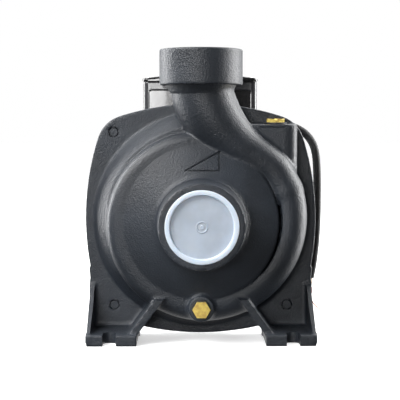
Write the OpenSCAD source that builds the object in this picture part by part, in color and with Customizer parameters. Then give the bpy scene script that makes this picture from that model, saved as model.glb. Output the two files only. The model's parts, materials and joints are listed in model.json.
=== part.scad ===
// Close-coupled centrifugal water pump with its electric motor.
// Frame: origin on the shaft axis at the suction face, +Y back along the shaft to the fan,
// +X to the right as seen from the suction side, +Z up. Sizes are in millimetres.

/* [Casing] */
// Height of the shaft axis above the floor that the feet stand on
axis_h = 110; // [105:1:135]
// Half width of the square flange, measured on its centre lines
flange_half = 107; // [103:1:110]
// Thickness of the square flange
flange_t = 12; // [10:1:15]
// Distance from the suction face back to the front of the flange
casing_depth = 82; // [80:1:90]
// Wall of the casting around the water passages
wall = 5; // [4:0.5:6]
// Radius of the front disc
disc_r = 70; // [66:1:74]
// Radius of the drum where it meets the flange
drum_r = 98.5; // [94:0.5:100]
// Half spacing of the four flange bolts, across and up
bolt_half = 80.6; // [78:0.2:82]

/* [Volute] */
// Outer radius of the volute at its tongue
volute_r = 81; // [79:1:84]
// Growth of the volute's outer radius in a quarter turn
volute_step = 5.3; // [4:0.1:6]
// Radius of the round ridge that the volute makes
ridge_r = 17; // [15:0.5:18]
// Angle of the tongue, counter-clockwise from +X as seen from the suction side
tongue_angle = 100; // [95:1:105]
// Distance from the suction face back to the middle plane of the volute and the outlet
outlet_y = 60; // [58:1:62]

/* [Ports] */
// Wall radius of both 2 inch pipe threads
port_r = 28.4; // [24:0.2:29.5]
// Outer radius of both port bosses
port_boss_r = 37.5; // [35:0.5:42]
// Height of the outlet face above the shaft axis
outlet_h = 155; // [150:1:190]
// Height of the outlet collar
collar_h = 32; // [28:1:36]
// Length of the thread wall in each port
port_thread_l = 22; // [18:1:24]
// Depth of the plain mouth in front of the suction thread
mouth_l = 8; // [6:0.5:10]
// Half of the priming plug's thread diameter, G 3/8
prime_r = 8.3; // [6:0.1:10]
// Half of the drain plug's thread diameter, G 1/4
drain_r = 6.6; // [5:0.1:6.8]

/* [Feet] */
// Half of the overall width across the two front feet
foot_half = 103; // [98:1:106]
// Distance between the centres of the two foot slots
slot_spacing = 165; // [158:1:170]
// Width of each foot slot
slot_w = 12; // [10:0.5:14]
// Thickness of the foot pads
pad_t = 10; // [8:1:12]

/* [Impeller and shaft] */
// Outer radius of the impeller
impeller_r = 69; // [57.5:0.5:70]
// Number of impeller vanes
vane_count = 6; // [5:1:7]
// Radius of the shaft where it carries the impeller
nose_r = 8; // [7:0.2:9.6]
// Running gap between turning and still pieces
run_gap = 0.4; // [0.3:0.05:0.5]
// Radial clearance of a piece seated in or on another
seat_gap = 0.05; // [0.02:0.01:0.08]

/* [Motor] */
// Length of the finned motor frame
frame_len = 120; // [110:1:150]
// Inner radius of the motor frame
frame_r = 64; // [60:1:66]
// Wall of the motor frame under the fins
frame_wall = 5; // [4:0.5:6]
// Height of the cooling fins
fin_h = 7; // [5:1:9]
// Length of the stator and rotor cores
core_len = 80; // [60:1:84]
// Radius of the rotor core
rotor_r = 34.5; // [28.8:0.5:36]
// Length of the fan cover
cover_len = 60; // [55:1:80]

/* [Terminal box] */
// Half width of the terminal box
box_half = 55; // [50:1:66]
// Length of the terminal box along the shaft
box_len = 118; // [100:1:125]
// Height of the top edge of the box above the shaft axis
box_top = 128.5; // [125:0.5:135]
// Wall of the terminal box
box_wall = 3; // [2.5:0.5:4]

/* [Power lead] */
// Outer diameter of the lead
lead_d = 7.8; // [7:0.1:8.2]

/* [Hidden] */

$fn = 64;
eps = 0.5;                  // overshoot of a cut past the face it opens
cast_iron = "#4c5158";
aluminium = "#8f9499";
steel = "#a9adb0";
brass = "#c9a34a";
plastic_black = "#17181a";
rubber = "#222222";
copper = "#a8573a";

// Stations along the shaft
y_joint = casing_depth + flange_t;                // casing against motor bracket
bracket_len = 40;
bracket_flange_t = 10;
y_frame = y_joint + bracket_len;                  // motor bracket against motor frame
y_shield = y_frame + frame_len;                   // motor frame against rear shield
y_core = y_frame + (frame_len - core_len) / 2;    // front of both cores
shield_t = 8;
y_front_bearing = y_frame - 18;
y_rear_bearing = y_shield + 2;
y_fan = y_shield + 26;
y_cover = y_shield + 13;                          // open end of the fan cover
y_end = y_cover + cover_len;

// Casting
floor_z = -axis_h;
flange_side_r = 245;        // radius of the flange's bowed sides
flange_corner_r = 124;      // radius that the flange's corners lie on
ridge_side_y = casing_depth - 1;
disc_edge_y = 43;
disc_top_y = 33;
disc_top_r = 42;
boss_root_r = port_boss_r + 2.5;
chamber_r = impeller_r + 3;
chamber_back_y = casing_depth - 6;
spigot_r = chamber_r + 3;
collar_z = outlet_h - collar_h;

// Neck from the volute up to the outlet: x, z and radius of each section
NECK = [
    [66, 45, 17.5], [55, 54.5, 18.5], [42, 63, 20], [29.5, 71.5, 22.5], [16.5, 85, 25.5],
    [7.5, 99, 27.5], [2, collar_z - 10, 28], [0, collar_z + 2, 28]
];
VOLUTE_STEP = 20;           // angle between the volute's sections
VOLUTE_SIDES = 12;

// Priming box beside the neck, and its plug
box_x0 = 40;
box_x1 = 88;
box_y0 = 57;
box_z0 = 42;
box_z1 = 88;
prime_x = 68;
prime_y = 70;
plug_head_h = 4.7;
washer_t = 1.5;
prime_af = 16;
prime_thread_l = 11;

// Drain plug at the bottom of the volute
drain_z = -77.5;
drain_boss_r = 11.5;
drain_boss_y = 38;
drain_af = 14;
drain_thread_l = 10;

// Front feet
pad_front_y = 33;
pad_inner_x = 58;
slot_end_y = pad_front_y + 16 - slot_w / 2;
gusset_t = 4;
rib_t = 6.2;

// Impeller and seal
eye_r = 26;
eye_y = 38;
shroud_t = 3;
shroud_in_y = 45;           // front shroud at the eye
shroud_out_y = 54;          // front shroud at the rim
back_y = 66;                // front of the back shroud
hub_r = nose_r + 8;
hub_back_y = 72;
nut_y = 44;
nut_r = 12;
impeller_washer_r = 13;
hub_front_y = nut_y + 8 + 2;
key_w = 5;
bearing_r = 10;             // front bearing bore radius
seal_r = 14;
seal_y0 = 80;
seal_face_y = 85;
seal_seat_l = 8;
spigot_y = 78;

// Bearings: bore radius, outer radius, width, pitch radius, ball radius
FRONT_BEARING = [bearing_r, 23.5, 14, 16.75, 3.97];
REAR_BEARING = [8.5, 20, 12, 14.25, 3.37];
BALLS = 8;
BALL_GAP = 0.12;

// Motor
frame_out_r = frame_r + frame_wall;
fin_r = frame_out_r + fin_h;
fin_t = 2.4;
fin_count = 44;
pad_z = frame_out_r + 3;    // flat on top of the frame for the terminal box
rod_r = 2.5;
rod_place_r = frame_out_r + rod_r + 0.5;
rod_angles = [38, 142, 218, 322];
slot_count = 24;
cover_t = 1.5;
cover_r = fin_r - 1;
fan_r = cover_r - 9;
lip_r = rod_place_r - 6;    // rear lip of the shield, inside the ring of nuts
foot_y = y_shield - 50;
foot_len = 40;
foot_pad_z = -(fin_r + 2);

// Terminal box
box_y = y_frame - 9;
box_z = pad_z;
box_floor_z = box_z + box_wall;
gasket_t = 1;
lid_half = box_half + 1;
lid_edge_t = 2.5;
lid_crown = 3.5;
lid_z = box_top + gasket_t;
box_corner_r = 6;
gland_y = y_frame + 16;
gland_z = 86;
gland_r = 7.6;
gland_hex_af = 19;
gland_hex_l = 5;
gland_nut_l = 22;
gland_x = box_half + gland_hex_l + gland_nut_l;

// Route of the lead from its gland: a straight start, a quarter bend and a loose hang
LEAD = [
    [82, 150, 86], [86, 150, 86], [92, 150, 85], [98, 150, 82.4], [104, 150, 78.4],
    [109, 150, 72.8], [112.6, 150, 66], [114.8, 150, 57], [115.8, 150, 46], [116.3, 150, 34],
    [116.5, 150, 20], [116.5, 150, 4], [116.1, 150, -12], [115.2, 150, -28], [113.6, 150, -44],
    [111.6, 150, -57], [110, 150, -65]
];
LEAD_SIDES = 12;
// Loose copper strands past the crimp
STRANDS = [
    [110, 149.2, -80.5], [111.2, 149.2, -86], [113.6, 149.2, -91], [117, 149.2, -94.6], [121, 149.2, -97]
];
STRAND_SIDES = 8;
core_l = 9;
core_d = 2.4;
crimp_r = 2.6;
crimp_l = 6;

// ---------------------------------------------------------------- shared shapes

// Solid rod along Y
module rod(y0, y1, r, x = 0, z = 0) {
    translate([x, y0, z]) rotate([-90, 0, 0]) cylinder(h = y1 - y0, r = r);
}

// Cone along Y
module cone(y0, y1, r0, r1) {
    translate([0, y0, 0]) rotate([-90, 0, 0]) cylinder(h = y1 - y0, r1 = r0, r2 = r1);
}

// Tube along Y
module tube(y0, y1, r_out, r_in) {
    difference() {
        rod(y0, y1, r_out);
        rod(y0 - eps, y1 + eps, r_in);
    }
}

// Upright post
module post(z0, z1, r, x = 0, y = 0) {
    translate([x, y, z0]) cylinder(h = z1 - z0, r = r);
}

// Profile of radius and Y, turned about the shaft axis
module turned() {
    rotate([-90, 0, 0]) rotate_extrude() children();
}

// Outline of X and Z, extruded from y0 to y1
module slab(y0, y1) {
    translate([0, y1, 0]) rotate([90, 0, 0]) linear_extrude(y1 - y0) children();
}

// Hexagonal prism along Y with flats at top and bottom
module hex(y0, y1, af, x = 0, z = 0) {
    translate([x, y0, z]) rotate([-90, 0, 0]) cylinder(h = y1 - y0, r = af / sqrt(3), $fn = 6);
}

// Ring of like pieces about the shaft axis
module around(angles) {
    for (a = angles) rotate([0, -a, 0]) children();
}

// Rectangle with round corners
module round_rect(w, h, r) {
    square([w - 2 * r, h], center = true);
    square([w, h - 2 * r], center = true);
    for (sx = [-1, 1], sy = [-1, 1]) translate([sx * (w / 2 - r), sy * (h / 2 - r)]) circle(r);
}

// Tube of round sections: rings of points joined in order and closed at both ends
module skin(rings, sides) {
    last = len(rings) - 1;
    polyhedron(
        points = [for (ring = rings) each ring],
        faces = concat(
            [[for (j = [0 : sides - 1]) j]],
            [for (i = [0 : last - 1], j = [0 : sides - 1])
                [i * sides + j, (i + 1) * sides + j, (i + 1) * sides + (j + 1) % sides,
                 i * sides + (j + 1) % sides]],
            [[for (j = [sides - 1 : -1 : 0]) last * sides + j]]
        )
    );
}

function unit(v) = v / norm(v);

// Direction of a route at point i
function along(path, i) = unit(path[min(i + 1, len(path) - 1)] - path[max(i - 1, 0)]);

// Round section of radius r across a route that keeps one Y
function section(p, t, r, sides) = [
    for (j = [0 : sides - 1])
        let (a = 360 * (j + 0.37) / sides)
        p + r * cos(a) * [0, 1, 0] + r * sin(a) * cross(t, [0, 1, 0])
];

module cord(path, r, sides) {
    skin([for (i = [0 : len(path) - 1]) section(path[i], along(path, i), r, sides)], sides);
}

// ---------------------------------------------------------------- casing

// Bowed square of half width h with clipped corners, in X and Z
module bowed_square(h, corner_r) {
    intersection() {
        for_sides(h, 0);
        for_sides(h, 1);
        circle(corner_r);
    }
}

// Two facing bowed sides
module for_sides(h, turn) {
    intersection() {
        rotate(90 * turn) translate([flange_side_r - h, 0]) circle(flange_side_r);
        rotate(90 * turn) translate([h - flange_side_r, 0]) circle(flange_side_r);
    }
}

// Outer radius of the volute at angle a
function volute_out(a) = volute_r + volute_step * (a - tongue_angle) / 90;

// Sections of the volute from angle first on, and of the neck after it, as in NECK
function waterway(first) = concat(
    [for (a = [first : VOLUTE_STEP : 382])
        let (c = volute_out(a) - ridge_r) [c * cos(a), c * sin(a), ridge_r]],
    NECK
);

// Volute and neck, thinner by t all over: two tubes that share the last stretch of the volute,
// because the neck passes in front of the volute's start
module waterway_solid(first, t) {
    stations = waterway(first);
    path = [for (s = stations) [s[0], outlet_y, s[1]]];
    rings = [for (i = [0 : len(path) - 1])
        section(path[i], along(path, i), stations[i][2] - t, VOLUTE_SIDES)];
    joint = len(rings) - len(NECK) - 1;
    skin([for (i = [0 : joint]) rings[i]], VOLUTE_SIDES);
    skin([for (i = [joint - 1 : len(rings) - 1]) rings[i]], VOLUTE_SIDES);
}

module casing_outside() {
    slab(casing_depth, y_joint) {
        bowed_square(flange_half, flange_corner_r);
        for (s = [-1, 1]) translate([s * (foot_half + pad_inner_x) / 2, (floor_z - 47) / 2])
            square([foot_half - pad_inner_x, axis_h - 47], center = true);
    }
    turned() polygon([
        [0, ridge_side_y - 14], [drum_r - 12, ridge_side_y - 14], [drum_r, ridge_side_y],
        [drum_r, casing_depth + 1], [0, casing_depth + 1]
    ]);
    waterway_solid(tongue_angle - 20, 0);
    turned() polygon([
        [0, disc_top_y], [disc_top_r, disc_top_y], [disc_r, disc_edge_y],
        [disc_r, outlet_y + 4], [0, outlet_y + 4]
    ]);
    cone(0, disc_top_y + 2, port_boss_r, boss_root_r);
    post(collar_z, outlet_h, port_boss_r, 0, outlet_y);
    translate([0, outlet_y, collar_z - 7]) cylinder(h = 7, r1 = 28.5, r2 = port_boss_r);
    translate([box_x0, box_y0, box_z0])
        cube([box_x1 - box_x0, casing_depth - box_y0 + 1, box_z1 - box_z0]);
    rod(drain_boss_y, outlet_y + 5, drain_boss_r, 0, drain_z);
}

// One front foot: pad with an open slot, outer wall and inner rib; side is 1 or -1
module front_foot(side) {
    length = casing_depth + 1 - pad_front_y;
    x_slot = side * slot_spacing / 2;
    difference() {
        translate([side > 0 ? pad_inner_x : -foot_half, pad_front_y, floor_z])
            cube([foot_half - pad_inner_x, length, pad_t]);
        translate([x_slot - slot_w / 2, pad_front_y - eps, floor_z - eps])
            cube([slot_w, slot_end_y - pad_front_y + eps, pad_t + 2 * eps]);
        post(floor_z - eps, floor_z + pad_t + eps, slot_w / 2, x_slot, slot_end_y);
    }
    translate([side > 0 ? foot_half - gusset_t : -foot_half, 0, 0]) rotate([90, 0, 90])
        linear_extrude(gusset_t) polygon([
            [casing_depth + 1, -61], [pad_front_y + 3, floor_z + pad_t],
            [pad_front_y + 3, floor_z + pad_t - 1], [casing_depth + 1, floor_z + pad_t - 1]
        ]);
    slab(pad_front_y + 4, casing_depth + 1) polygon([
        [side * 34, -69], [side * (34 + rib_t * 1.2), -69],
        [side * (pad_inner_x + rib_t), floor_z + pad_t - 1], [side * pad_inner_x, floor_z + pad_t - 1]
    ]);
}

// Passages that stay as cast: impeller chamber, volute and neck
module cast_space() {
    turned() polygon([
        [0, eye_y], [eye_r + shroud_t, shroud_in_y - 3], [chamber_r, shroud_out_y - 5],
        [chamber_r, y_joint + 1], [0, y_joint + 1]
    ]);
    waterway_solid(tongue_angle - 5, wall);
}

// Bores and threads that are cut afterwards
module machined_space() {
    rod(-eps, mouth_l, port_r + 1.6);
    rod(mouth_l - eps, mouth_l + port_thread_l, port_r);
    rod(mouth_l + port_thread_l - eps, eye_y - 1, port_r - 1.4);
    rod(eye_y - 1.5, shroud_in_y + 1, eye_r + shroud_t + run_gap);
    rod(chamber_back_y, y_joint + eps, spigot_r);
    post(outlet_h - port_thread_l, outlet_h + eps, port_r, 0, outlet_y);
    post(collar_z - 2, outlet_h - port_thread_l + eps, port_r - 1.4, 0, outlet_y);
    post(50, box_z1 - prime_thread_l, prime_r - 2, prime_x, prime_y);
    post(box_z1 - prime_thread_l - eps, box_z1 + eps, prime_r, prime_x, prime_y);
    rod(drain_boss_y - eps, drain_boss_y + drain_thread_l + 1, drain_r, 0, drain_z);
    rod(drain_boss_y + drain_thread_l, outlet_y, drain_r - 2, 0, drain_z);
    at_bolts() rod(casing_depth - eps, y_joint + eps, 4 + seat_gap);
}

module pump_casing() {
    color(cast_iron) difference() {
        resize([0, 0, 0]) difference() {
            union() {
                casing_outside();
                front_foot(1);
                front_foot(-1);
            }
            cast_space();
        }
        machined_space();
    }
}

// The four flange bolt places
module at_bolts() {
    for (sx = [-1, 1], sz = [-1, 1]) translate([sx * bolt_half, 0, sz * bolt_half]) children();
}

module casing_bolts() {
    color(steel) at_bolts() {
        rod(casing_depth + 1, y_joint + bracket_flange_t, 4);
        hex(y_joint + bracket_flange_t, y_joint + bracket_flange_t + 5.3, 13);
    }
}

module casing_oring() {
    color(rubber) turned() translate([spigot_r - 1.75, y_joint - 5]) circle(1.5);
}

// ---------------------------------------------------------------- bracket, impeller and seal

module motor_bracket() {
    barrel_r = frame_out_r;
    y_room = y_joint + bracket_flange_t;          // front of the room around the hub
    color(cast_iron) difference() {
        union() {
            difference() {
                union() {
                    slab(y_joint, y_room) bowed_square(flange_half - 5, flange_corner_r - 5);
                    rod(spigot_y, y_joint + 1, spigot_r - 0.2);
                    cone(y_joint + 1, y_frame, barrel_r + 8, barrel_r);
                    around(rod_angles) rod(y_frame - 8, y_frame, rod_r + 4, rod_place_r);
                }
                rod(y_room, y_frame + eps, barrel_r - wall - 1);
            }
            rod(y_room - 1, y_front_bearing + 14, 29);
            around([45, 135, 225, 315]) translate([26, y_room - 1, -3])
                cube([barrel_r - wall - 26, 24, 6]);
        }
        rod(spigot_y - eps, seal_face_y + seal_seat_l, seal_r + 3);
        rod(y_joint - 2, y_room, bearing_r + 1.5);
        rod(y_room - eps, y_front_bearing + 1, bearing_r + 5);
        rod(y_front_bearing, y_front_bearing + 15, FRONT_BEARING[1] + seat_gap);
        turned() translate([spigot_r - 3.4, y_joint - 6.8]) square([4, 3.6]);
        at_bolts() rod(y_joint - eps, y_room + eps, 4 + 0.5);
        around(rod_angles) rod(y_frame - 9, y_frame + eps, rod_r + seat_gap, rod_place_r);
        for (s = [-1, 1]) translate([s * barrel_r, y_room + 13, 0]) cube([40, 18, 46], center = true);
    }
}

module vane() {
    arc_r = 0.58 * impeller_r;
    intersection() {
        translate([0, -0.47 * impeller_r]) difference() {
            circle(arc_r + 1.5);
            circle(arc_r - 1.5);
        }
        translate([eye_r - 4, -impeller_r]) square([impeller_r, impeller_r]);
        circle(impeller_r - 0.5);
    }
}

module impeller() {
    color(brass) difference() {
        union() {
            turned() polygon([
                [eye_r, eye_y], [eye_r + shroud_t, eye_y], [eye_r + shroud_t, shroud_in_y - 1],
                [impeller_r, shroud_out_y - shroud_t], [impeller_r, shroud_out_y],
                [eye_r, shroud_in_y + 2]
            ]);
            turned() polygon([
                [0, hub_front_y], [hub_r - 3, hub_front_y], [hub_r + 6, back_y], [impeller_r, back_y],
                [impeller_r, back_y + shroud_t], [hub_r, back_y + shroud_t], [hub_r, hub_back_y],
                [0, hub_back_y]
            ]);
            intersection() {
                slab(shroud_in_y, back_y + 1)
                    for (k = [0 : vane_count - 1]) rotate(360 * k / vane_count) vane();
                turned() polygon([
                    [eye_r - 4, shroud_in_y + 1], [eye_r, shroud_in_y + 1],
                    [impeller_r, shroud_out_y - 1], [impeller_r, back_y + 1], [eye_r - 4, back_y + 1]
                ]);
            }
        }
        rod(hub_front_y - eps, hub_back_y + eps, nose_r + seat_gap);
        translate([-key_w / 2 - seat_gap, hub_front_y - eps, 0])
            cube([key_w + 2 * seat_gap, hub_back_y - hub_front_y + 2 * eps, nose_r + 2.5 + seat_gap]);
    }
}

module impeller_washer() {
    color(steel) tube(nut_y + 8, hub_front_y, impeller_washer_r, nose_r - 1 + seat_gap);
}

module impeller_nut() {
    color(steel) difference() {
        hex(nut_y, nut_y + 8, 2 * nut_r * 0.92);
        rod(nut_y - eps, nut_y + 8 + eps, nose_r - 1 + seat_gap);
    }
}

module impeller_key() {
    color(steel) translate([-key_w / 2, hub_front_y + 1, nose_r - 3])
        cube([key_w, hub_back_y - hub_front_y - 2, 5.5]);
}

module seal_seat() {
    bore_r = max(bearing_r + 0.5, nose_r + 2);
    color("#d9d4c4") tube(seal_face_y, seal_face_y + seal_seat_l, seal_r + 3 - seat_gap, bore_r);
}

module seal_head() {
    color("#303030") tube(seal_y0, seal_face_y, seal_r, nose_r + 1 + seat_gap);
}

// Compression spring between the impeller hub and the seal head
module seal_spring() {
    turns = 2.5;
    per_turn = 14;
    wire_r = 0.7;
    coil_r = nose_r + 3.5;
    y0 = hub_back_y + wire_r;
    y1 = seal_y0 - wire_r;
    steps = turns * per_turn;
    rings = [
        for (i = [0 : steps])
            let (
                a = 360 * i / per_turn, out = [cos(a), 0, sin(a)],
                p = coil_r * out + [0, y0 + (y1 - y0) * i / steps, 0]
            )
            [for (j = [0 : 5]) p + wire_r * cos(60 * j) * out + wire_r * sin(60 * j) * [0, 1, 0]]
    ];
    color(steel) skin(rings, 6);
}

module slinger() {
    y = y_joint + bracket_flange_t + 4;
    color(rubber) tube(y, y + 4, bearing_r + 4, bearing_r - 1 + seat_gap);
}

module shaft() {
    far = y_fan + 22;
    color(steel) difference() {
        turned() polygon([
            [0, nut_y - 3], [nose_r - 1, nut_y - 3], [nose_r - 1, hub_front_y], [nose_r, hub_front_y],
            [nose_r, hub_back_y], [nose_r + 1, hub_back_y], [nose_r + 1, y_joint],
            [bearing_r - 1, y_joint], [bearing_r - 1, y_front_bearing - 4],
            [bearing_r - seat_gap, y_front_bearing - 4], [bearing_r - seat_gap, y_front_bearing + 14],
            [bearing_r + 2, y_front_bearing + 14], [bearing_r + 2, y_core],
            [bearing_r + 4, y_core], [bearing_r + 4, y_core + core_len],
            [bearing_r + 2, y_core + core_len], [bearing_r + 2, y_rear_bearing],
            [REAR_BEARING[0] - seat_gap, y_rear_bearing],
            [REAR_BEARING[0] - seat_gap, y_rear_bearing + 14], [7, y_rear_bearing + 14], [7, far],
            [0, far]
        ]);
        translate([-key_w / 2 - seat_gap, hub_front_y + 1, nose_r - 3])
            cube([key_w + 2 * seat_gap, hub_back_y - hub_front_y - 2, 4]);
        tube(y_fan + 17, y_fan + 18.2, 9, 6.2);
    }
}

module fan_circlip() {
    color(steel) difference() {
        tube(y_fan + 17.1, y_fan + 18.1, 9.5, 6.3);
        translate([-1.5, y_fan + 16, -12]) cube([3, 4, 12]);
    }
}

// ---------------------------------------------------------------- bearings

function groove_r(b) = b[4] + BALL_GAP;

module race_groove(b, y) {
    turned() translate([b[3], y + b[2] / 2]) circle(groove_r(b));
}

module outer_ring(b, y) {
    color(steel) difference() {
        tube(y, y + b[2], b[1], b[3] + 0.55 * b[4]);
        race_groove(b, y);
    }
}

module inner_ring(b, y) {
    color(steel) difference() {
        tube(y, y + b[2], b[3] - 0.55 * b[4], b[0]);
        race_groove(b, y);
    }
}

// Balls in their cage, which is a ring with a bored pocket for each ball
module ball_set(b, y) {
    mid = y + b[2] / 2;
    half = b[4] + 0.9;
    turns = [for (k = [0 : BALLS - 1]) 360 * k / BALLS];
    color(steel) around(turns) translate([b[3], mid, 0]) sphere(b[4]);
    color(brass) difference() {
        tube(mid - half, mid + half, b[3] + 1.2, b[3] - 1.2);
        around(turns) translate([b[3] - 5, mid, 0]) rotate([0, 90, 0]) cylinder(h = 10, r = groove_r(b));
    }
}

module front_bearing_outer() { outer_ring(FRONT_BEARING, y_front_bearing); }
module front_bearing_inner() { inner_ring(FRONT_BEARING, y_front_bearing); }
module front_bearing_balls() { ball_set(FRONT_BEARING, y_front_bearing); }
module rear_bearing_outer() { outer_ring(REAR_BEARING, y_rear_bearing); }
module rear_bearing_inner() { inner_ring(REAR_BEARING, y_rear_bearing); }
module rear_bearing_balls() { ball_set(REAR_BEARING, y_rear_bearing); }

module preload_spring() {
    y = y_rear_bearing + REAR_BEARING[2];
    color(steel) tube(y, y + 1.5, REAR_BEARING[1] - 0.8, REAR_BEARING[1] - 4);
}

// ---------------------------------------------------------------- motor

module rotor_core() {
    color(aluminium) tube(y_core, y_core + core_len, rotor_r, bearing_r + 4 + seat_gap);
    color(aluminium) tube(y_core - 7, y_core, rotor_r - 2, rotor_r - 12);
    color(aluminium) tube(y_core + core_len, y_core + core_len + 7, rotor_r - 2, rotor_r - 12);
}

module stator_core() {
    color("#6d7075") slab(y_core, y_core + core_len) difference() {
        circle(frame_r - seat_gap);
        circle(rotor_r + 0.5);
        for (k = [0 : slot_count - 1]) rotate(360 * k / slot_count)
            translate([rotor_r, -2.5]) square([18, 5]);
    }
}

module stator_windings() {
    inner = rotor_r + 3.5;
    outer = rotor_r + 17;
    end_l = min(12, (frame_len - core_len) / 2 - 5);
    color(copper) {
        tube(y_core - end_l, y_core - 0.5, outer + 4, inner);
        tube(y_core + core_len + 0.5, y_core + core_len + end_l, outer + 4, inner);
        slab(y_core - 1, y_core + core_len + 1) for (k = [0 : slot_count - 1])
            rotate(360 * k / slot_count) translate([inner, -2.2]) square([outer - inner, 4.4]);
    }
}

// Fin angles, leaving room for the terminal box, the foot and the tie rods
function fin_free(a) = abs(sin(a)) < 0.86 && min([for (t = rod_angles) abs(t - a)]) > 6;

module motor_frame() {
    color(aluminium) difference() {
        union() {
            slab(y_frame, y_shield) {
                circle(frame_out_r);
                for (k = [0 : fin_count - 1]) let (a = 360 * k / fin_count)
                    if (fin_free(a)) rotate(a) translate([frame_out_r - 1, -fin_t / 2])
                        square([fin_h + 1, fin_t]);
            }
            translate([-36, y_frame + 4, 0]) cube([72, frame_len - 8, pad_z]);
            translate([-22, foot_y - 2, foot_pad_z]) cube([44, foot_len + 4, 30]);
        }
        rod(y_frame - eps, y_shield + eps, frame_r);
        at_box_screws() post(box_z - 9, box_z + eps, 2 + seat_gap);
        at_foot_screws() post(foot_pad_z - eps, foot_pad_z + 9, 3 + seat_gap);
        post(60, box_z + eps, 6, 0, y_frame + 60);
        translate([frame_out_r - 2, y_frame + 12, -fin_t * 3]) cube([20, 12, fin_t * 6]);
        translate([-fin_r - 10, y_frame + 34, -13]) cube([fin_h + 8, 52, 26]);
    }
}

module rating_plate() {
    x = -fin_r - 10 + fin_h + 8;
    color(steel) translate([x - 0.8, y_frame + 36, -11]) cube([0.8, 48, 22]);
}

module plate_rivets() {
    x = -fin_r - 10 + fin_h + 8;
    color(steel) for (y = [y_frame + 39, y_frame + 81])
        translate([x - 0.8, y, 0]) rotate([0, -90, 0]) cylinder(h = 1.2, r = 1.8);
}

module earth_screw() {
    color(brass) translate([frame_out_r - 2, y_frame + 18, 0]) rotate([0, 90, 0]) cylinder(h = 4, r = 4);
}

module rear_shield() {
    pocket = y_rear_bearing + REAR_BEARING[2] + 1.5;
    color(aluminium) difference() {
        union() {
            rod(y_shield, y_shield + shield_t, frame_out_r);
            tube(y_shield - 4, y_shield + 1, frame_r - seat_gap, frame_r - 4);
            rod(y_shield - 4, pocket + 4, REAR_BEARING[1] + 5);
            tube(y_shield + shield_t - 1, y_cover + 1, lip_r, lip_r - 6);
            tube(y_cover, y_cover + 8, cover_r - cover_t - seat_gap, lip_r - 6);
            around(rod_angles) rod(y_shield, y_shield + shield_t, rod_r + 2, rod_place_r);
        }
        rod(y_shield - 5, pocket, REAR_BEARING[1] + seat_gap);
        rod(pocket - eps, pocket + 4 + eps, REAR_BEARING[0] + 1);
        around(rod_angles) rod(y_shield - eps, y_shield + shield_t + eps, rod_r + seat_gap, rod_place_r);
        at_cover_screws() screw_body(cover_r - cover_t - 8, cover_r, 2 + seat_gap);
    }
}

module tie_rods() {
    color(steel) around(rod_angles) {
        rod(y_frame - 8, y_shield + shield_t, rod_r, rod_place_r);
        hex(y_shield + shield_t, y_shield + shield_t + 3.5, 8, rod_place_r);
    }
}

// Radial screw, from radius r0 out to r1, at the children's angle
module screw_body(r0, r1, r) {
    translate([r0, y_cover + 4, 0]) rotate([0, 90, 0]) cylinder(h = r1 - r0, r = r);
}

module at_cover_screws() {
    around([0, 90, 180, 270]) children();
}

module cooling_fan() {
    blades = 8;
    color(plastic_black) difference() {
        union() {
            rod(y_fan, y_fan + 17, 13);
            rod(y_fan, y_fan + 2.5, fan_r - 14);
            around([for (k = [0 : blades - 1]) 360 * k / blades])
                translate([10, y_fan, -1.2]) cube([fan_r - 10, 19, 2.4]);
        }
        rod(y_fan - eps, y_fan + 20, 7 + seat_gap);
        rod(y_fan + 17, y_fan + 20, 12);
    }
}

module fan_cover() {
    color(plastic_black) difference() {
        union() {
            rod(y_cover, y_end - 10, cover_r);
            cone(y_end - 10, y_end, cover_r, cover_r - 10);
        }
        rod(y_cover - eps, y_end - 10.5, cover_r - cover_t);
        cone(y_end - 11, y_end - cover_t, cover_r - cover_t, cover_r - 10 - cover_t);
        for (ring = [1 : 4]) around([for (k = [0 : 6 * ring - 1]) 60 * k / ring])
            rod(y_end - 3, y_end + eps, 4, 13.5 * ring);
        rod(y_end - 3, y_end + eps, 4);
        at_cover_screws() screw_body(cover_r - 4, cover_r + 4, 2.2);
    }
}

module fan_cover_screws() {
    color(steel) at_cover_screws() {
        screw_body(cover_r - cover_t - 7.5, cover_r + 0.1, 2);
        screw_body(cover_r + 0.05, cover_r + 2, 3.8);
    }
}

module at_foot_screws() {
    for (y = [foot_y + 10, foot_y + foot_len - 10]) translate([0, y, 0]) children();
}

module motor_foot() {
    t = 3;
    base = floor_z;
    top = foot_pad_z;
    color("#2b2d30") difference() {
        translate([0, foot_y, 0]) mirror([0, 1, 0]) rotate([90, 0, 0]) linear_extrude(foot_len) polygon([
            [-60, base], [-36, base], [-20, top - t], [20, top - t], [36, base], [60, base],
            [60, base + t], [37.8, base + t], [21.8, top], [-21.8, top], [-37.8, base + t],
            [-60, base + t]
        ]);
        at_foot_screws() post(top - t - eps, top + eps, 3.3);
        for (s = [-1, 1]) post(base - eps, base + t + eps, 4.5, s * 49, foot_y + foot_len / 2);
    }
}

module foot_screws() {
    color(steel) at_foot_screws() {
        post(foot_pad_z - 3, foot_pad_z + 8, 3);
        translate([0, 0, foot_pad_z - 7]) cylinder(h = 4, r = 10 / sqrt(3), $fn = 6);
    }
}

// ---------------------------------------------------------------- terminal box

box_mid_y = box_y + box_len / 2;

module box_solid(z0, z1, half, length, r) {
    translate([0, box_mid_y, z0]) linear_extrude(z1 - z0) round_rect(2 * half, length, r);
}

module at_box_screws() {
    for (sx = [-1, 1], sy = [-1, 1]) translate([sx * 28, box_mid_y + sy * 40, 0]) children();
}

module at_lid_screws() {
    for (sx = [-1, 1], sy = [-1, 1])
        translate([sx * (box_half - 8), box_mid_y + sy * (box_len / 2 - 8), 0]) children();
}

module along_x(x0, x1, r, y, z) {
    translate([x0, y, z]) rotate([0, 90, 0]) cylinder(h = x1 - x0, r = r);
}

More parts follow.
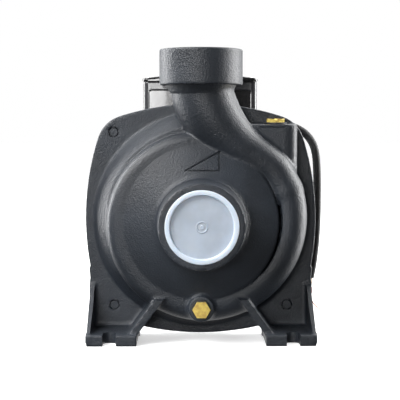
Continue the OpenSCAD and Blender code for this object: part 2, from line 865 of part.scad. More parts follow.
module terminal_base() {
    panel_w = 2 * box_half - 12;
    panel_z0 = box_z + 8;
    panel_z1 = box_top - 8;
    color(plastic_black) difference() {
        union() {
            difference() {
                box_solid(box_z, box_top, box_half, box_len, box_corner_r);
                box_solid(box_floor_z, box_top + eps, box_half - box_wall, box_len - 2 * box_wall, 4);
            }
            at_lid_screws() post(box_floor_z - 1, box_top, 5.5);
        }
        at_lid_screws() post(box_top - 16, box_top + eps, 2 + seat_gap);
        at_box_screws() post(box_z - eps, box_floor_z + eps, 2.3);
        post(box_z - eps, box_floor_z + eps, 6, 0, y_frame + 60);
        along_x(box_half - 5, box_half + 2, gland_r + seat_gap, gland_y, gland_z);
        translate([-panel_w / 2, box_y - 1, panel_z0]) cube([panel_w, 1.8, panel_z1 - panel_z0]);
    }
}

module base_screws() {
    color(steel) at_box_screws() {
        post(box_z - 8, box_floor_z + 0.1, 2);
        post(box_floor_z, box_floor_z + 2.4, 3.6);
    }
}

module terminal_gasket() {
    color(rubber) difference() {
        box_solid(box_top, lid_z, box_half - 0.5, box_len - 1, box_corner_r - 0.5);
        box_solid(box_top - eps, lid_z + eps, box_half - 14, box_len - 28, 2);
        at_lid_screws() post(box_top - eps, lid_z + eps, 2.4);
    }
}

module terminal_lid() {
    crown_r = pow(lid_half, 2) / (2 * lid_crown);
    z_top = lid_z + lid_edge_t + lid_crown;
    color(plastic_black) difference() {
        intersection() {
            box_solid(lid_z, z_top, lid_half, box_len + 2, box_corner_r + 1);
            rod(box_y - 2, box_y + box_len + 2, crown_r, 0, z_top - crown_r, $fn = 720);
        }
        box_solid(lid_z - eps, lid_z + 1.5, box_half - 15, box_len - 30, 2);
        at_lid_screws() post(lid_z - eps, z_top + eps, 2.3);
        at_lid_screws() post(lid_z + 2.2, z_top + eps, 4.2);
    }
}

module lid_screws() {
    color(steel) at_lid_screws() {
        post(box_top - 14, lid_z + 2.3, 2);
        post(lid_z + 2.25, lid_z + 4, 3.8);
    }
}

module terminal_block() {
    color("#e8e2d0") difference() {
        translate([2, box_y + 26, box_floor_z]) cube([38, 20, 14]);
        for (k = [0 : 2]) post(box_floor_z + 6, box_floor_z + 15, 2.5 + seat_gap, 9 + 12 * k, box_y + 36);
    }
}

module terminal_studs() {
    color(brass) for (k = [0 : 2]) {
        post(box_floor_z + 6, box_floor_z + 22, 2.5, 9 + 12 * k, box_y + 36);
        translate([9 + 12 * k, box_y + 36, box_floor_z + 14.2])
            cylinder(h = 3.5, r = 8 / sqrt(3), $fn = 6);
    }
}

cap_r = 17;
cap_x = -26;
cap_z = box_floor_z + cap_r + 3;

module capacitor() {
    color("#d5d8da") rod(box_y + 30, box_y + 98, cap_r, cap_x, cap_z);
    color(plastic_black) rod(box_y + 26, box_y + 30, cap_r - 3, cap_x, cap_z);
}

// Saddle under the capacitor
module capacitor_clip() {
    color(plastic_black) difference() {
        translate([cap_x - cap_r + 3, box_y + 56, box_floor_z]) cube([2 * cap_r - 6, 14, 13]);
        rod(box_y + 50, box_y + 76, cap_r + seat_gap, cap_x, cap_z);
    }
}

module gland_body() {
    hole_r = lead_d / 2 + seat_gap;
    color(plastic_black) difference() {
        union() {
            along_x(box_half - box_wall - 7, box_half + 1, gland_r, gland_y, gland_z);
            translate([box_half, gland_y, gland_z]) rotate([0, 90, 0])
                cylinder(h = gland_hex_l, r = gland_hex_af / sqrt(3), $fn = 6);
            along_x(box_half + 4, box_half + gland_hex_l + 8, gland_r - 1, gland_y, gland_z);
        }
        along_x(box_half - 20, gland_x, hole_r + 1, gland_y, gland_z);
    }
}

module gland_locknut() {
    x1 = box_half - box_wall;
    color(plastic_black) difference() {
        translate([x1 - 4, gland_y, gland_z]) rotate([0, 90, 0]) cylinder(h = 4, r = 10.5, $fn = 6);
        along_x(x1 - 5, x1 + 1, gland_r + seat_gap, gland_y, gland_z);
    }
}

// Tapered nut that doubles as the bend relief of the lead
module gland_nut() {
    x0 = box_half + gland_hex_l;
    color(plastic_black) difference() {
        translate([x0, gland_y, gland_z]) rotate([0, 90, 0])
            cylinder(h = gland_nut_l, r1 = 10, r2 = lead_d / 2 + 1.6);
        along_x(x0 - eps, x0 + 8 + seat_gap, gland_r - 1 + seat_gap, gland_y, gland_z);
        along_x(x0 + 7, gland_x + eps, lead_d / 2 + 0.3, gland_y, gland_z);
    }
}

// ---------------------------------------------------------------- power lead

module power_lead() {
    color(plastic_black) cord(LEAD, lead_d / 2, LEAD_SIDES);
}

module lead_cores() {
    end = LEAD[len(LEAD) - 1];
    dirs = [[0, -1.6], [0.6, 1.2], [-1.2, 0.8]];
    lengths = [core_l, 5, 4];
    color("#6b3a20") for (k = [0 : 2])
        translate([end[0] + dirs[k][0], end[1] + dirs[k][1], end[2] - 0.5 - lengths[k]])
            cylinder(h = lengths[k], r = core_d / 2);
}

module lead_crimp() {
    end = LEAD[len(LEAD) - 1];
    color("#5a1c1c") translate([end[0], end[1] - 0.8, end[2] - 0.5 - core_l - crimp_l])
        cylinder(h = crimp_l, r = crimp_r);
}

module lead_strands() {
    color(copper) cord(STRANDS, 0.8, STRAND_SIDES);
}

// ---------------------------------------------------------------- plugs and cap

module priming_washer() {
    color(copper) difference() {
        post(box_z1, box_z1 + washer_t, prime_r + 2.2, prime_x, prime_y);
        post(box_z1 - eps, box_z1 + washer_t + eps, prime_r, prime_x, prime_y);
    }
}

module priming_plug() {
    z = box_z1 + washer_t;
    color(brass) post(box_z1 - prime_thread_l + 1, z + 0.2, prime_r - run_gap, prime_x, prime_y);
    color(brass) translate([prime_x, prime_y, z + 0.1]) rotate([0, 0, 30])
        cylinder(h = plug_head_h - washer_t, r = prime_af / sqrt(3), $fn = 6);
}

module drain_washer() {
    color(copper) translate([0, 0, drain_z]) tube(drain_boss_y - 1, drain_boss_y, drain_r + 2, drain_r);
}

module drain_plug() {
    y = drain_boss_y - 1;
    color(brass) rod(y - 0.2, y + drain_thread_l, drain_r - run_gap, 0, drain_z);
    color(brass) hex(y - 4, y - 0.1, drain_af, 0, drain_z);
}

module suction_cap() {
    rim_r = 32;
    skirt_r = port_r + 1.6 - 0.3;
    face_r = 27.2;
    color("#d6dee8") difference() {
        union() {
            rod(-2, -0.3, rim_r);
            rod(-0.5, mouth_l - 0.4, skirt_r);
        }
        rod(-3, 1, face_r);
        rod(2.4, mouth_l, skirt_r - 1.8);
    }
}

pump_casing();
casing_bolts();
casing_oring();
motor_bracket();
impeller();
impeller_washer();
impeller_nut();
impeller_key();
seal_seat();
seal_head();
seal_spring();
slinger();
shaft();
rotor_core();
stator_core();
stator_windings();
front_bearing_outer();
front_bearing_inner();
front_bearing_balls();
rear_bearing_outer();
rear_bearing_inner();
rear_bearing_balls();
preload_spring();
motor_frame();
rear_shield();
tie_rods();
cooling_fan();
fan_circlip();
fan_cover();
fan_cover_screws();
motor_foot();
foot_screws();
terminal_base();
base_screws();
terminal_gasket();
terminal_lid();
lid_screws();
terminal_block();
terminal_studs();
capacitor();
capacitor_clip();
gland_body();
gland_locknut();
gland_nut();
power_lead();
lead_cores();
lead_crimp();
lead_strands();
priming_plug();
priming_washer();
drain_plug();
drain_washer();
suction_cap();
rating_plate();
plate_rivets();
earth_screw();
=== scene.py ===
"""Centrifugal water pump: castings, plastics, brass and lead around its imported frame."""

import json
import math

import bmesh
import bpy
import numpy as np
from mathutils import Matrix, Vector

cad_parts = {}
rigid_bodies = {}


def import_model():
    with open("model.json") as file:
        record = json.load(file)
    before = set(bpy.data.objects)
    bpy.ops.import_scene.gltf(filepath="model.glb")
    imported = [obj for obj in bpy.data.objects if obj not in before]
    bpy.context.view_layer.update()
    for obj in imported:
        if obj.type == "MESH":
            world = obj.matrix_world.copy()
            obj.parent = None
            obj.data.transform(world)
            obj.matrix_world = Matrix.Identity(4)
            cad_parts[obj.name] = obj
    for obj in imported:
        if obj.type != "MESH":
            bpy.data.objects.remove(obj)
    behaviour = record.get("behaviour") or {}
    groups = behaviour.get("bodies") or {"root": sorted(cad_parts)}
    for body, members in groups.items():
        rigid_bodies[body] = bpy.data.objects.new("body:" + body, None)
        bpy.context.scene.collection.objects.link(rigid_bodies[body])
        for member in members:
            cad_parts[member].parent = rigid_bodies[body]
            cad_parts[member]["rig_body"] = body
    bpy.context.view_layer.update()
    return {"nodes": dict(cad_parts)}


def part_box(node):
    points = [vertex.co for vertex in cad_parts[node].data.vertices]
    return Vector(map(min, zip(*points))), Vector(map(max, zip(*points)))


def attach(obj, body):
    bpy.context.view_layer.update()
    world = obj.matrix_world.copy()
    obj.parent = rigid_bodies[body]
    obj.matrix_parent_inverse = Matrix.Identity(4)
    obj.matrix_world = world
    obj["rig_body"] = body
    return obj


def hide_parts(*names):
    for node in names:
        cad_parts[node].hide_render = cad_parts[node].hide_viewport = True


bl_info = {
    "name": "Centrifugal water pump",
    "version": (1, 0, 0),
    "blender": (4, 5, 0),
    "location": "3D View > Sidebar > Pump",
    "description": "Builds the castings, plastics, brass and lead of a close-coupled pump",
    "category": "Object",
}

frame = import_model()
MM = 0.001

# ---------------------------------------------------------------- sizes, in mm

AXIS_H = 110.0
OUTLET_Y = 60.0
PLATE_Y = 82.0
JOINT_Y = 94.0
BOLT = 80.6
FLANGE_R = 245.0  # bow of the flange's sides
FLANGE_CORNER_R = 124.4
FLANGE_HALF = 107.0
DRUM_R = 98.5
DISC_R = 69.8
BOSS_R = 37.5  # both ports
COLLAR_Z = 123.0
OUTLET_Z = 155.0
PORT_R = 28.4
PORT_BORE_R = 27.0
RIDGE_R = 17.0
WALL = 5.0
FOOT_HALF = 103.0
FOOT_INNER = 58.0
SLOT_R = 6.0
SLOT_X = 82.5
SLOT_Y = 43.0
BOLT_R = 4.1
PRIMING_X = 68.0
PRIMING_Y = 70.0
PRIMING_Z = 88.0
DRAIN_Z = -77.5
PIPE_PITCH = 2.309
PLUG_PITCH = 1.337
CAP_R = 32.0
GLAND_Y = 150.0
GLAND_Z = 86.0
LID_SCREW_X = 47.0
BOX_HALF = 55.0
NECK = [
    (75.6, 27.5, 17), (66, 45, 17.5), (55, 54.5, 18.5), (42, 63, 20), (29.5, 71.5, 22.5),
    (16.5, 85, 25.5), (7.5, 99, 27.5), (2, 113, 28), (0, 125, 28),
]
LEAD = [
    (82, 150, 86), (86, 150, 86), (92, 150, 85), (98, 150, 82.4), (104, 150, 78.4),
    (109, 150, 72.8), (112.6, 150, 66), (114.8, 150, 57), (115.8, 150, 46), (116.3, 150, 34),
    (116.5, 150, 20), (116.5, 150, 4), (116.1, 150, -12), (115.2, 150, -28), (113.6, 150, -44),
    (111.6, 150, -57), (110, 150, -65),
]
STRANDS = [
    (110, 149.2, -80.5), (111.2, 149.2, -86), (113.6, 149.2, -91), (117, 149.2, -94.6),
    (121, 149.2, -97),
]

# ---------------------------------------------------------------- view, in metres; lens in mm

LENS = 97.1
CAMERA_AT = (-0.0125, -0.918, 0.0909)
CAMERA_AIM = (-0.0007, 0.082, 0.0176)

# ---------------------------------------------------------------- shader expressions


class Value:
    """A shader socket that takes part in sums: an expression on values adds its Math nodes."""

    def __init__(self, tree, socket):
        self.tree = tree
        self.socket = socket

    def math(self, operation, *others):
        return self.tree.node(
            "ShaderNodeMath", {"operation": operation}, dict(enumerate([self, *others]))
        )

    def reflected(self, operation, other):
        return self.tree.node(
            "ShaderNodeMath", {"operation": operation}, {0: other, 1: self}
        )

    def __add__(self, other):
        return self.math("ADD", other)

    def __sub__(self, other):
        return self.math("SUBTRACT", other)

    def __rsub__(self, other):
        return self.reflected("SUBTRACT", other)

    def __mul__(self, other):
        return self.math("MULTIPLY", other)

    __radd__ = __add__
    __rmul__ = __mul__

    def above(self, low, high):
        """0 below low, 1 above high, smooth between."""
        return self.tree.node(
            "ShaderNodeMapRange",
            {"interpolation_type": "SMOOTHSTEP"},
            {"Value": self, "From Min": low, "From Max": high},
        )


class Finish:
    """One material: its node tree, with the shader that the sockets feed."""

    def __init__(self, name, colour, roughness, metallic=0.0, **sockets):
        self.material = bpy.data.materials.new(name)
        self.material.use_nodes = True
        self.material.diffuse_color = (*colour, 1)
        self.nodes = self.material.node_tree.nodes
        self.links = self.material.node_tree.links
        self.shader = next(n for n in self.nodes if n.type == "BSDF_PRINCIPLED")
        self.colour = colour
        self.place = self.node("ShaderNodeTexCoord", out="Object")
        self.set("Base Color", (*colour, 1))
        self.set("Roughness", roughness)
        self.set("Metallic", metallic)
        for socket, value in sockets.items():
            self.set(socket.replace("_", " "), value)

    def set(self, name, value):
        self.join(self.shader.inputs[name], value)

    def join(self, socket, value):
        if isinstance(value, Value):
            self.links.new(value.socket, socket)
        else:
            socket.default_value = value

    def node(self, kind, settings=None, inputs=None, out=0):
        made = self.nodes.new(kind)
        for key, value in (settings or {}).items():
            if key == "stops":
                for i, (place, colour) in enumerate(value):
                    stop = (
                        made.color_ramp.elements[i]
                        if i < 2
                        else made.color_ramp.elements.new(place)
                    )
                    stop.position = place
                    stop.color = (*colour, 1)
            else:
                setattr(made, key, value)
        for key, value in (inputs or {}).items():
            self.join(made.inputs[key], value)
        return Value(self, made.outputs[out])

    def noise(self, scale, detail=2.0, stretch=None, roughness=0.5, out="Fac"):
        place = self.place
        if stretch:
            place = self.node(
                "ShaderNodeMapping", {}, {"Vector": place, "Scale": stretch}
            )
        return self.node(
            "ShaderNodeTexNoise",
            {},
            {"Vector": place, "Scale": scale, "Detail": detail, "Roughness": roughness},
            out,
        )

    def cells(self, scale, out="Distance"):
        return self.node(
            "ShaderNodeTexVoronoi", {}, {"Vector": self.place, "Scale": scale}, out
        )

    def mix(self, share, first, second):
        first = first if isinstance(first, Value) else (*first, 1)
        second = second if isinstance(second, Value) else (*second, 1)
        return self.node(
            "ShaderNodeMix",
            {"data_type": "RGBA"},
            {0: share, 6: first, 7: second},
            2,
        )

    def edges(self, low, high):
        """1 on convex edges, where handling wears a finish; on the cast paint it also places a
        painted edge highlight.
        """
        return self.node("ShaderNodeNewGeometry", out="Pointiness").above(low, high)

    def bump(self, height, distance, strength=1.0):
        bump = self.node(
            "ShaderNodeBump",
            {},
            {"Height": height, "Distance": distance, "Strength": strength},
        )
        self.set("Normal", bump)

    def shaded(self, amount):
        """The base colour, lighter and darker by amount."""
        light = [min(1, c * (1 + amount)) for c in self.colour]
        dark = [c * (1 - amount) for c in self.colour]
        return dark, light


def paint_finish(colours):
    """Semi-gloss paint over a sand casting: grainy skin, uneven film, thin on the edges, which are
    also lightened as a painted highlight.
    """
    f = Finish("cast_paint", colours.paint, 0.4)
    grain = f.noise(950, 3, roughness=0.6)
    pits = f.cells(620)
    swell = f.noise(150, 2)
    cloud = f.noise(16, 4)
    dark, light = f.shaded(0.3)
    tone = f.mix(cloud.above(0.3, 0.72), dark, light)
    tone = f.mix(grain.above(0.56, 0.8) * 0.35, tone, [c * 2.4 for c in f.colour])
    # Convex edges lighter: worn primer and a painted edge highlight.
    worn_and_highlit_edge = f.edges(0.53, 0.62) * f.noise(240, 3).above(0.35, 0.7)
    f.set("Base Color", f.mix(worn_and_highlit_edge * 0.5, tone, colours.worn_and_highlit_edge))
    f.set("Roughness", 0.32 + 0.14 * grain + 0.08 * cloud)
    f.bump(grain * 0.6 + pits * 0.4 + swell * 0.45, 0.00046, 1.0)
    return f


def brass_finish(colours):
    f = Finish("brass", colours.brass, 0.3, 0.5)
    turning = f.noise(90, 4, stretch=(1, 1, 14))
    stain = f.noise(210, 4)
    dark, light = f.shaded(0.25)
    tone = f.mix(stain.above(0.35, 0.7), light, dark)
    f.set("Base Color", f.mix(f.edges(0.55, 0.65) * 0.6, tone, (0.95, 0.8, 0.5)))
    f.set("Roughness", 0.24 + 0.2 * turning)
    f.bump(turning, 0.00008, 0.5)
    return f


def metal_finish(name, colour, roughness, grain_scale, stretch, depth):
    """Bare metal with tool marks along one direction and a little dullness."""
    f = Finish(name, colour, roughness, 1.0)
    marks = f.noise(grain_scale, 3, stretch=stretch)
    dull = f.noise(35, 3)
    dark, light = f.shaded(0.16)
    f.set("Base Color", f.mix(dull.above(0.3, 0.7), dark, light))
    f.set("Roughness", roughness - 0.08 + 0.16 * marks + 0.1 * dull)
    f.bump(marks, depth, 0.6)
    return f


def cast_aluminium_finish(name, colour):
    f = Finish(name, colour, 0.48, 1.0)
    skin = f.noise(700, 3)
    cloud = f.noise(22, 4)
    dark, light = f.shaded(0.22)
    tone = f.mix(cloud.above(0.3, 0.7), dark, light)
    f.set("Base Color", f.mix(f.edges(0.54, 0.64) * 0.5, tone, (0.85, 0.86, 0.88)))
    f.set("Roughness", 0.36 + 0.22 * skin + 0.1 * cloud)
    f.bump(skin, 0.0002, 0.6)
    return f


def plastic_finish(name, colour, roughness, skin_scale, depth, **sockets):
    """Moulded plastic: fine skin and faint flow."""
    f = Finish(name, colour, roughness, **sockets)
    skin = f.noise(skin_scale, 2)
    flow = f.noise(14, 3, stretch=(1, 1, 3))
    dark, light = f.shaded(0.3)
    f.set("Base Color", f.mix(flow.above(0.3, 0.7), dark, light))
    f.set("Roughness", roughness * 0.85 + roughness * 0.3 * skin)
    f.bump(skin, depth, 0.5)
    return f


def rubber_finish(name, colour):
    f = Finish(name, colour, 0.6)
    skin = f.noise(1500, 2)
    bloom = f.noise(60, 4)
    f.set(
        "Base Color", f.mix(bloom.above(0.45, 0.8) * 0.5, f.colour, (0.07, 0.07, 0.072))
    )
    f.set("Roughness", 0.48 + 0.2 * bloom + 0.08 * skin)
    f.bump(skin, 0.00012, 0.5)
    return f


def cap_finish(colours):
    """Thin bluish moulded cap that lets light through; its recessed face is painted darker as
    shade.
    """
    f = Finish(
        "cap_plastic",
        colours.cap,
        0.3,
        Subsurface_Weight=0.35,
        Subsurface_Scale=0.004,
        Subsurface_Radius=(0.6, 0.8, 1.0),
    )
    haze = f.noise(45, 3)
    skin = f.noise(420, 2)
    # Recessed face darker than the rim: painted shade in the recess.
    deep = f.node("ShaderNodeSeparateXYZ", {}, {0: f.place}, "Y").above(-0.0006, 0.0008)
    thin = f.mix(haze.above(0.35, 0.7), [c * 0.62 for c in f.colour], [c * 0.72 for c in f.colour])
    f.set("Base Color", f.mix(deep, f.colour, thin))
    f.set("Roughness", 0.26 + 0.12 * skin + 0.06 * haze)
    f.bump(skin + haze * 2, 0.0001, 0.3)
    return f


def gloss_finish(colours):
    """Glossy black enclosure plastic with a faint moulded ripple."""
    f = Finish("black_plastic", colours.enclosure, 0.12, Coat_Weight=0.3)
    ripple = f.noise(60, 2)
    dust = f.noise(800, 4)
    f.set(
        "Base Color", f.mix(dust.above(0.6, 0.8) * 0.25, f.colour, (0.05, 0.05, 0.055))
    )
    f.set("Roughness", 0.08 + 0.1 * dust)
    f.bump(ripple * 3 + dust * 0.1, 0.0001, 0.35)
    return f


def striped_finish(name, first, second):
    """Green insulation with a yellow stripe along its length."""
    f = Finish(name, first, 0.4)
    x = f.node("ShaderNodeSeparateXYZ", {}, {0: f.place}, "X")
    stripe = f.node("ShaderNodeMath", {"operation": "SINE"}, {0: x * 2600})
    wet = f.noise(900, 2)
    f.set("Base Color", f.mix(stripe.above(-0.1, 0.1), first, second))
    f.set("Roughness", 0.32 + 0.2 * wet)
    f.bump(wet, 0.00006, 0.4)
    return f


def make_finishes(colours):
    """Every finish of the pump, by the name of its slot."""
    made = {
        "cast_paint": paint_finish(colours),
        "zinc_steel": metal_finish(
            "zinc_steel", (0.58, 0.59, 0.57), 0.34, 260, (1, 1, 6), 0.00005
        ),
        "bright_steel": metal_finish(
            "bright_steel", (0.68, 0.68, 0.69), 0.22, 400, (1, 12, 1), 0.00003
        ),
        "aluminium": cast_aluminium_finish("aluminium", (0.5, 0.52, 0.54)),
        "brass": brass_finish(colours),
        "rubber": rubber_finish("rubber", (0.022, 0.022, 0.023)),
        "black_plastic": gloss_finish(colours),
        "matte_black": plastic_finish(
            "matte_black", (0.02, 0.02, 0.022), 0.5, 1300, 0.00015
        ),
        "copper": metal_finish("copper", (0.72, 0.3, 0.17), 0.3, 500, (3, 3, 1), 0.00004),
        "ceramic": plastic_finish("ceramic", (0.72, 0.69, 0.6), 0.35, 600, 0.00005),
        "carbon": plastic_finish("carbon", (0.04, 0.04, 0.042), 0.3, 900, 0.00004),
        "lamination": metal_finish(
            "lamination", (0.3, 0.3, 0.32), 0.42, 1400, (0.05, 2, 0.05), 0.0002
        ),
        "cap_plastic": cap_finish(colours),
        "lead_sheath": rubber_finish("lead_sheath", (0.012, 0.012, 0.013)),
        "core_insulation": plastic_finish(
            "core_insulation", (0.16, 0.06, 0.022), 0.38, 700, 0.00006
        ),
        "crimp": plastic_finish("crimp", (0.3, 0.025, 0.03), 0.35, 500, 0.00006),
        "capacitor_shell": plastic_finish(
            "capacitor_shell", (0.62, 0.64, 0.65), 0.38, 300, 0.00006
        ),
        "pale_core": plastic_finish("pale_core", (0.4, 0.22, 0.04), 0.38, 700, 0.00006),
        "earth_core": striped_finish("earth_core", (0.06, 0.3, 0.05), (0.75, 0.6, 0.03)),
        "box_frame": plastic_finish(
            "box_frame", (0.03, 0.03, 0.033), 0.3, 700, 0.00012, Coat_Weight=0.4
        ),
    }
    return {name: finish.material for name, finish in made.items()}


# ---------------------------------------------------------------- solid fields, in mm
# A field is below zero inside the solid and about as many millimetres as its surface is away.


def blend_in(a, b, k):
    """Both solids, with a fillet of about k between them."""
    h = np.clip(0.5 + 0.5 * (b - a) / k, 0, 1)
    return b + (a - b) * h - k * h * (1 - h)


def common(a, b, k=0.0):
    """What two solids share, its edge rounded by about k."""
    return -blend_in(-a, -b, k) if k else np.maximum(a, b)


def less(a, b, k=0.0):
    """The first solid with the second cut out, the cut's edge broken by about k."""
    return common(a, -b, k)


def span(v, low, high):
    return np.maximum(low - v, v - high)


def rod(x, y, z, y0, y1, r, cx=0.0, cz=0.0, k=0.0):
    """Round bar along Y."""
    return common(np.hypot(x - cx, z - cz) - r, span(y, y0, y1), k)


def post(x, y, z, z0, z1, r, cx=0.0, cy=0.0, k=0.0):
    """Round bar along Z."""
    return common(np.hypot(x - cx, y - cy) - r, span(z, z0, z1), k)


def hexagon(u, v, across):
    """Six sides, with a corner along v."""
    half = across / 2
    turned = np.maximum(abs(u * 0.5 + v * 0.866), abs(u * 0.5 - v * 0.866))
    return np.maximum(abs(u), turned) - half


def helix(u, v, w, pitch):
    """Place within a turn of a thread along w, from -1 to 1."""
    return ((w / pitch + np.arctan2(v, u) / (2 * math.pi)) % 1) * 2 - 1


def smooth_path(points, steps):
    """A curve through the points, steps to each span."""
    p = [np.array(q, float) for q in points]
    p = [2 * p[0] - p[1], *p, 2 * p[-1] - p[-2]]
    out = []
    for a, b, c, d in zip(p, p[1:], p[2:], p[3:]):
        for t in np.arange(steps) / steps:
            out.append(
                0.5
                * (
                    2 * b
                    + (c - a) * t
                    + (2 * a - 5 * b + 4 * c - d) * t**2
                    + (3 * b - a - 3 * c + d) * t**3
                )
            )
    out.append(p[-2])
    return out


def neck_field(x, y, z):
    """The tube that leaves the volute and rises to the outlet."""
    best = None
    stations = smooth_path(NECK, 4)
    for (ax, az, ar), (bx, bz, br) in zip(stations, stations[1:]):
        dx, dz = bx - ax, bz - az
        t = np.clip(((x - ax) * dx + (z - az) * dz) / (dx * dx + dz * dz), 0, 1)
        flat = (x - ax - t * dx) ** 2 + (z - az - t * dz) ** 2
        d = np.sqrt(flat + (y - OUTLET_Y) ** 2) - (ar + t * (br - ar))
        best = d if best is None else np.minimum(best, d)
    return best


def volute_field(x, y, z, first, r, draft):
    """The volute's ridge from angle first on; with draft its back runs straight to the plate."""
    angle = np.degrees(np.arctan2(z, x))
    angle = np.clip(np.where(angle < 50, angle + 360, angle), first, 380)
    centre = 81 + 5.3 * (angle - 100) / 90 - RIDGE_R
    turn = np.radians(angle)
    flat = np.hypot(x - centre * np.cos(turn), z - centre * np.sin(turn))
    if not draft:
        return np.hypot(flat, y - OUTLET_Y) - r
    deep = np.minimum(y - OUTLET_Y, 0)
    square = 3.4 - 1.4 * np.clip((angle - 200) / 100, 0, 1)
    section = (flat**square + abs(deep) ** square) ** (1 / square) - r
    return np.maximum(section, y - PLATE_Y - 1)


def disc_front(r):
    return 33 + 10 * np.clip((r - 42) / 28, 0, 1)


def stroke(x, z, a, b, width):
    """A line of that width from a to b, on the front."""
    dx, dz = b[0] - a[0], b[1] - a[1]
    t = np.clip(((x - a[0]) * dx + (z - a[1]) * dz) / (dx * dx + dz * dz), 0, 1)
    return np.hypot(x - a[0] - t * dx, z - a[1] - t * dz) - width / 2


def foot_field(x, y, z):
    """Both front feet: pads, outer walls and inner ribs; the slots in the pads are cut with the
    casting's bores.
    """
    x = abs(x)
    pad = common(
        common(span(x, FOOT_INNER, FOOT_HALF), span(z, -AXIS_H, -100), 1.2),
        span(y, 33, 84),
        1.2,
    )
    wall_x = span(x, FOOT_HALF - 4 + np.clip((60 - y) / 24, 0, 1), FOOT_HALF)
    over = (z + 61) * 0.77 + (83 - y) * 0.64
    wall = common(
        np.maximum(wall_x, over), np.maximum(-AXIS_H + 4 - z, span(y, 34, 84)), 0.8
    )
    lean = (x - 34) * 0.8 + (z + 69) * 0.6
    rib = common(
        np.maximum(-lean, lean - 6.2), np.maximum(span(z, -104, -69), span(y, 37, 84)), 0.8
    )
    return blend_in(pad, blend_in(wall, rib, 2), 3)


def casting_field(x, y, z):
    """Pump casing: plate, drum, ridge, neck, ports, priming box and feet, hollow inside."""
    r = np.hypot(x, z)
    off = FLANGE_R - FLANGE_HALF
    wide = np.hypot(abs(x) + off, z) - FLANGE_R
    tall = np.hypot(x, abs(z) + off) - FLANGE_R
    plate = common(common(wide, tall, 6), r - FLANGE_CORNER_R, 4)
    legs = np.maximum(span(abs(x), FOOT_INNER, FOOT_HALF), span(z, -AXIS_H, -47))
    body = common(blend_in(plate, legs, 5), span(y, PLATE_Y, JOINT_Y), 1.6)
    slope = np.maximum((r - 86.5 - (y - 67) * 0.857) * 0.76, r - DRUM_R)
    drum = np.maximum(slope, span(y, 67, 84))
    body = blend_in(body, drum, 2.5)
    body = blend_in(body, volute_field(x, y, z, 80, RIDGE_R, True), 2.5)
    neck = neck_field(x, y, z)
    front = disc_front(r)
    disc = np.maximum(common(r - DISC_R, (front - y) * 0.94, 2.2), y - 64)
    boss = common(r - BOSS_R - np.clip(y, 0, 35) / 14, span(y, 0, 45), 1.6)
    disc = blend_in(disc, boss, 5)
    valley = np.hypot(r - 71.6, y - 46.5) - 2.2
    body = less(body, valley, 1)
    body = blend_in(body, disc, 1.2)
    body = blend_in(body, neck, 2.2)
    collar = post(x, y, z, COLLAR_Z, OUTLET_Z, BOSS_R, 0, OUTLET_Y, 1.8)
    under = np.maximum(
        np.hypot(x, y - OUTLET_Y) - 28.3 - (z - 116.5) * 0.55, span(z, 116.5, COLLAR_Z + 0.5)
    )
    body = blend_in(body, np.minimum(collar, under * 0.6), 1.2)
    box = common(common(span(x, 40, 88), 57 - y, 13), span(z, 42, PRIMING_Z), 2.6)
    body = blend_in(body, np.maximum(box, y - 84), 2.2)
    body = blend_in(body, foot_field(x, y, z), 4)
    drain = rod(x, y, z, 38, 65, 11.5, 0, DRAIN_Z, 1.4)
    body = blend_in(body, drain, 5)
    corners = [(-14.5, 47), (15.9, 63.6), (15.9, 47)]
    mark = np.minimum(
        np.minimum(
            stroke(x, z, corners[0], corners[1], 1.4),
            stroke(x, z, corners[2], corners[0], 1.4),
        ),
        stroke(x, z, corners[1], corners[2], 2.1),
    )
    body = less(body, np.maximum(mark, y - front - 1.6))
    lip = stroke(y, z, (56.8, 85.2), (57.0, 85.2), 1.1)
    body = less(body, np.maximum(lip, span(x, 44, 84)))
    body = np.maximum(body, np.maximum(span(z, -AXIS_H, OUTLET_Z), abs(x) - FLANGE_HALF))
    # passages as cast
    roof = 38 + np.clip(r / 29, 0, 1) * 4 + np.clip((r - 29) / 43, 0, 1) * 7
    hollow = np.maximum(r - 72, roof - y)
    hollow = np.minimum(hollow, volute_field(x, y, z, 95, RIDGE_R - WALL, False))
    hollow = np.minimum(hollow, neck + WALL)
    # bores and threads
    slot = np.minimum(
        post(abs(x), y, z, -AXIS_H - 2, -98, SLOT_R, SLOT_X, SLOT_Y),
        np.maximum(abs(abs(x) - SLOT_X) - SLOT_R, np.maximum(span(y, 30, SLOT_Y), z + 98)),
    )
    thread = PORT_R + 1.1 * (1 - abs(helix(x, y - OUTLET_Y, z, PIPE_PITCH)))
    for cut in (
        rod(x, y, z, -1, 8, 30),
        rod(x, y, z, 7.5, 30, PORT_R),
        rod(x, y, z, 29.5, 37, PORT_BORE_R),
        rod(x, y, z, 36.5, 46, 29.4),
        rod(x, y, z, 76, 96, 75),
        common(np.hypot(x, y - OUTLET_Y) - thread, span(z, 133, OUTLET_Z + 1)),
        post(x, y, z, 121, 133.5, PORT_BORE_R, 0, OUTLET_Y),
        post(x, y, z, 50, 77, 6.3, PRIMING_X, PRIMING_Y),
        post(x, y, z, 76.5, PRIMING_Z + 1, 8.3, PRIMING_X, PRIMING_Y),
        rod(x, y, z, 37, 49, 6.6, 0, DRAIN_Z),
        rod(x, y, z, 48, 60, 4.6, 0, DRAIN_Z),
        rod(abs(x), y, abs(z), 81.5, 95, BOLT_R, BOLT, BOLT),
        rod(abs(x), y, abs(z), 81, 83.6, BOLT_R + 1, BOLT, BOLT),
        slot,
    ):
        hollow = np.minimum(hollow, cut)
    return less(body, hollow, 0.7)


def rounded(u, v, half_u, half_v, r):
    """Rectangle with round corners, centred on zero."""
    du, dv = abs(u) - half_u + r, abs(v) - half_v + r
    return (
        np.hypot(np.maximum(du, 0), np.maximum(dv, 0))
        + np.minimum(np.maximum(du, dv), 0)
        - r
    )


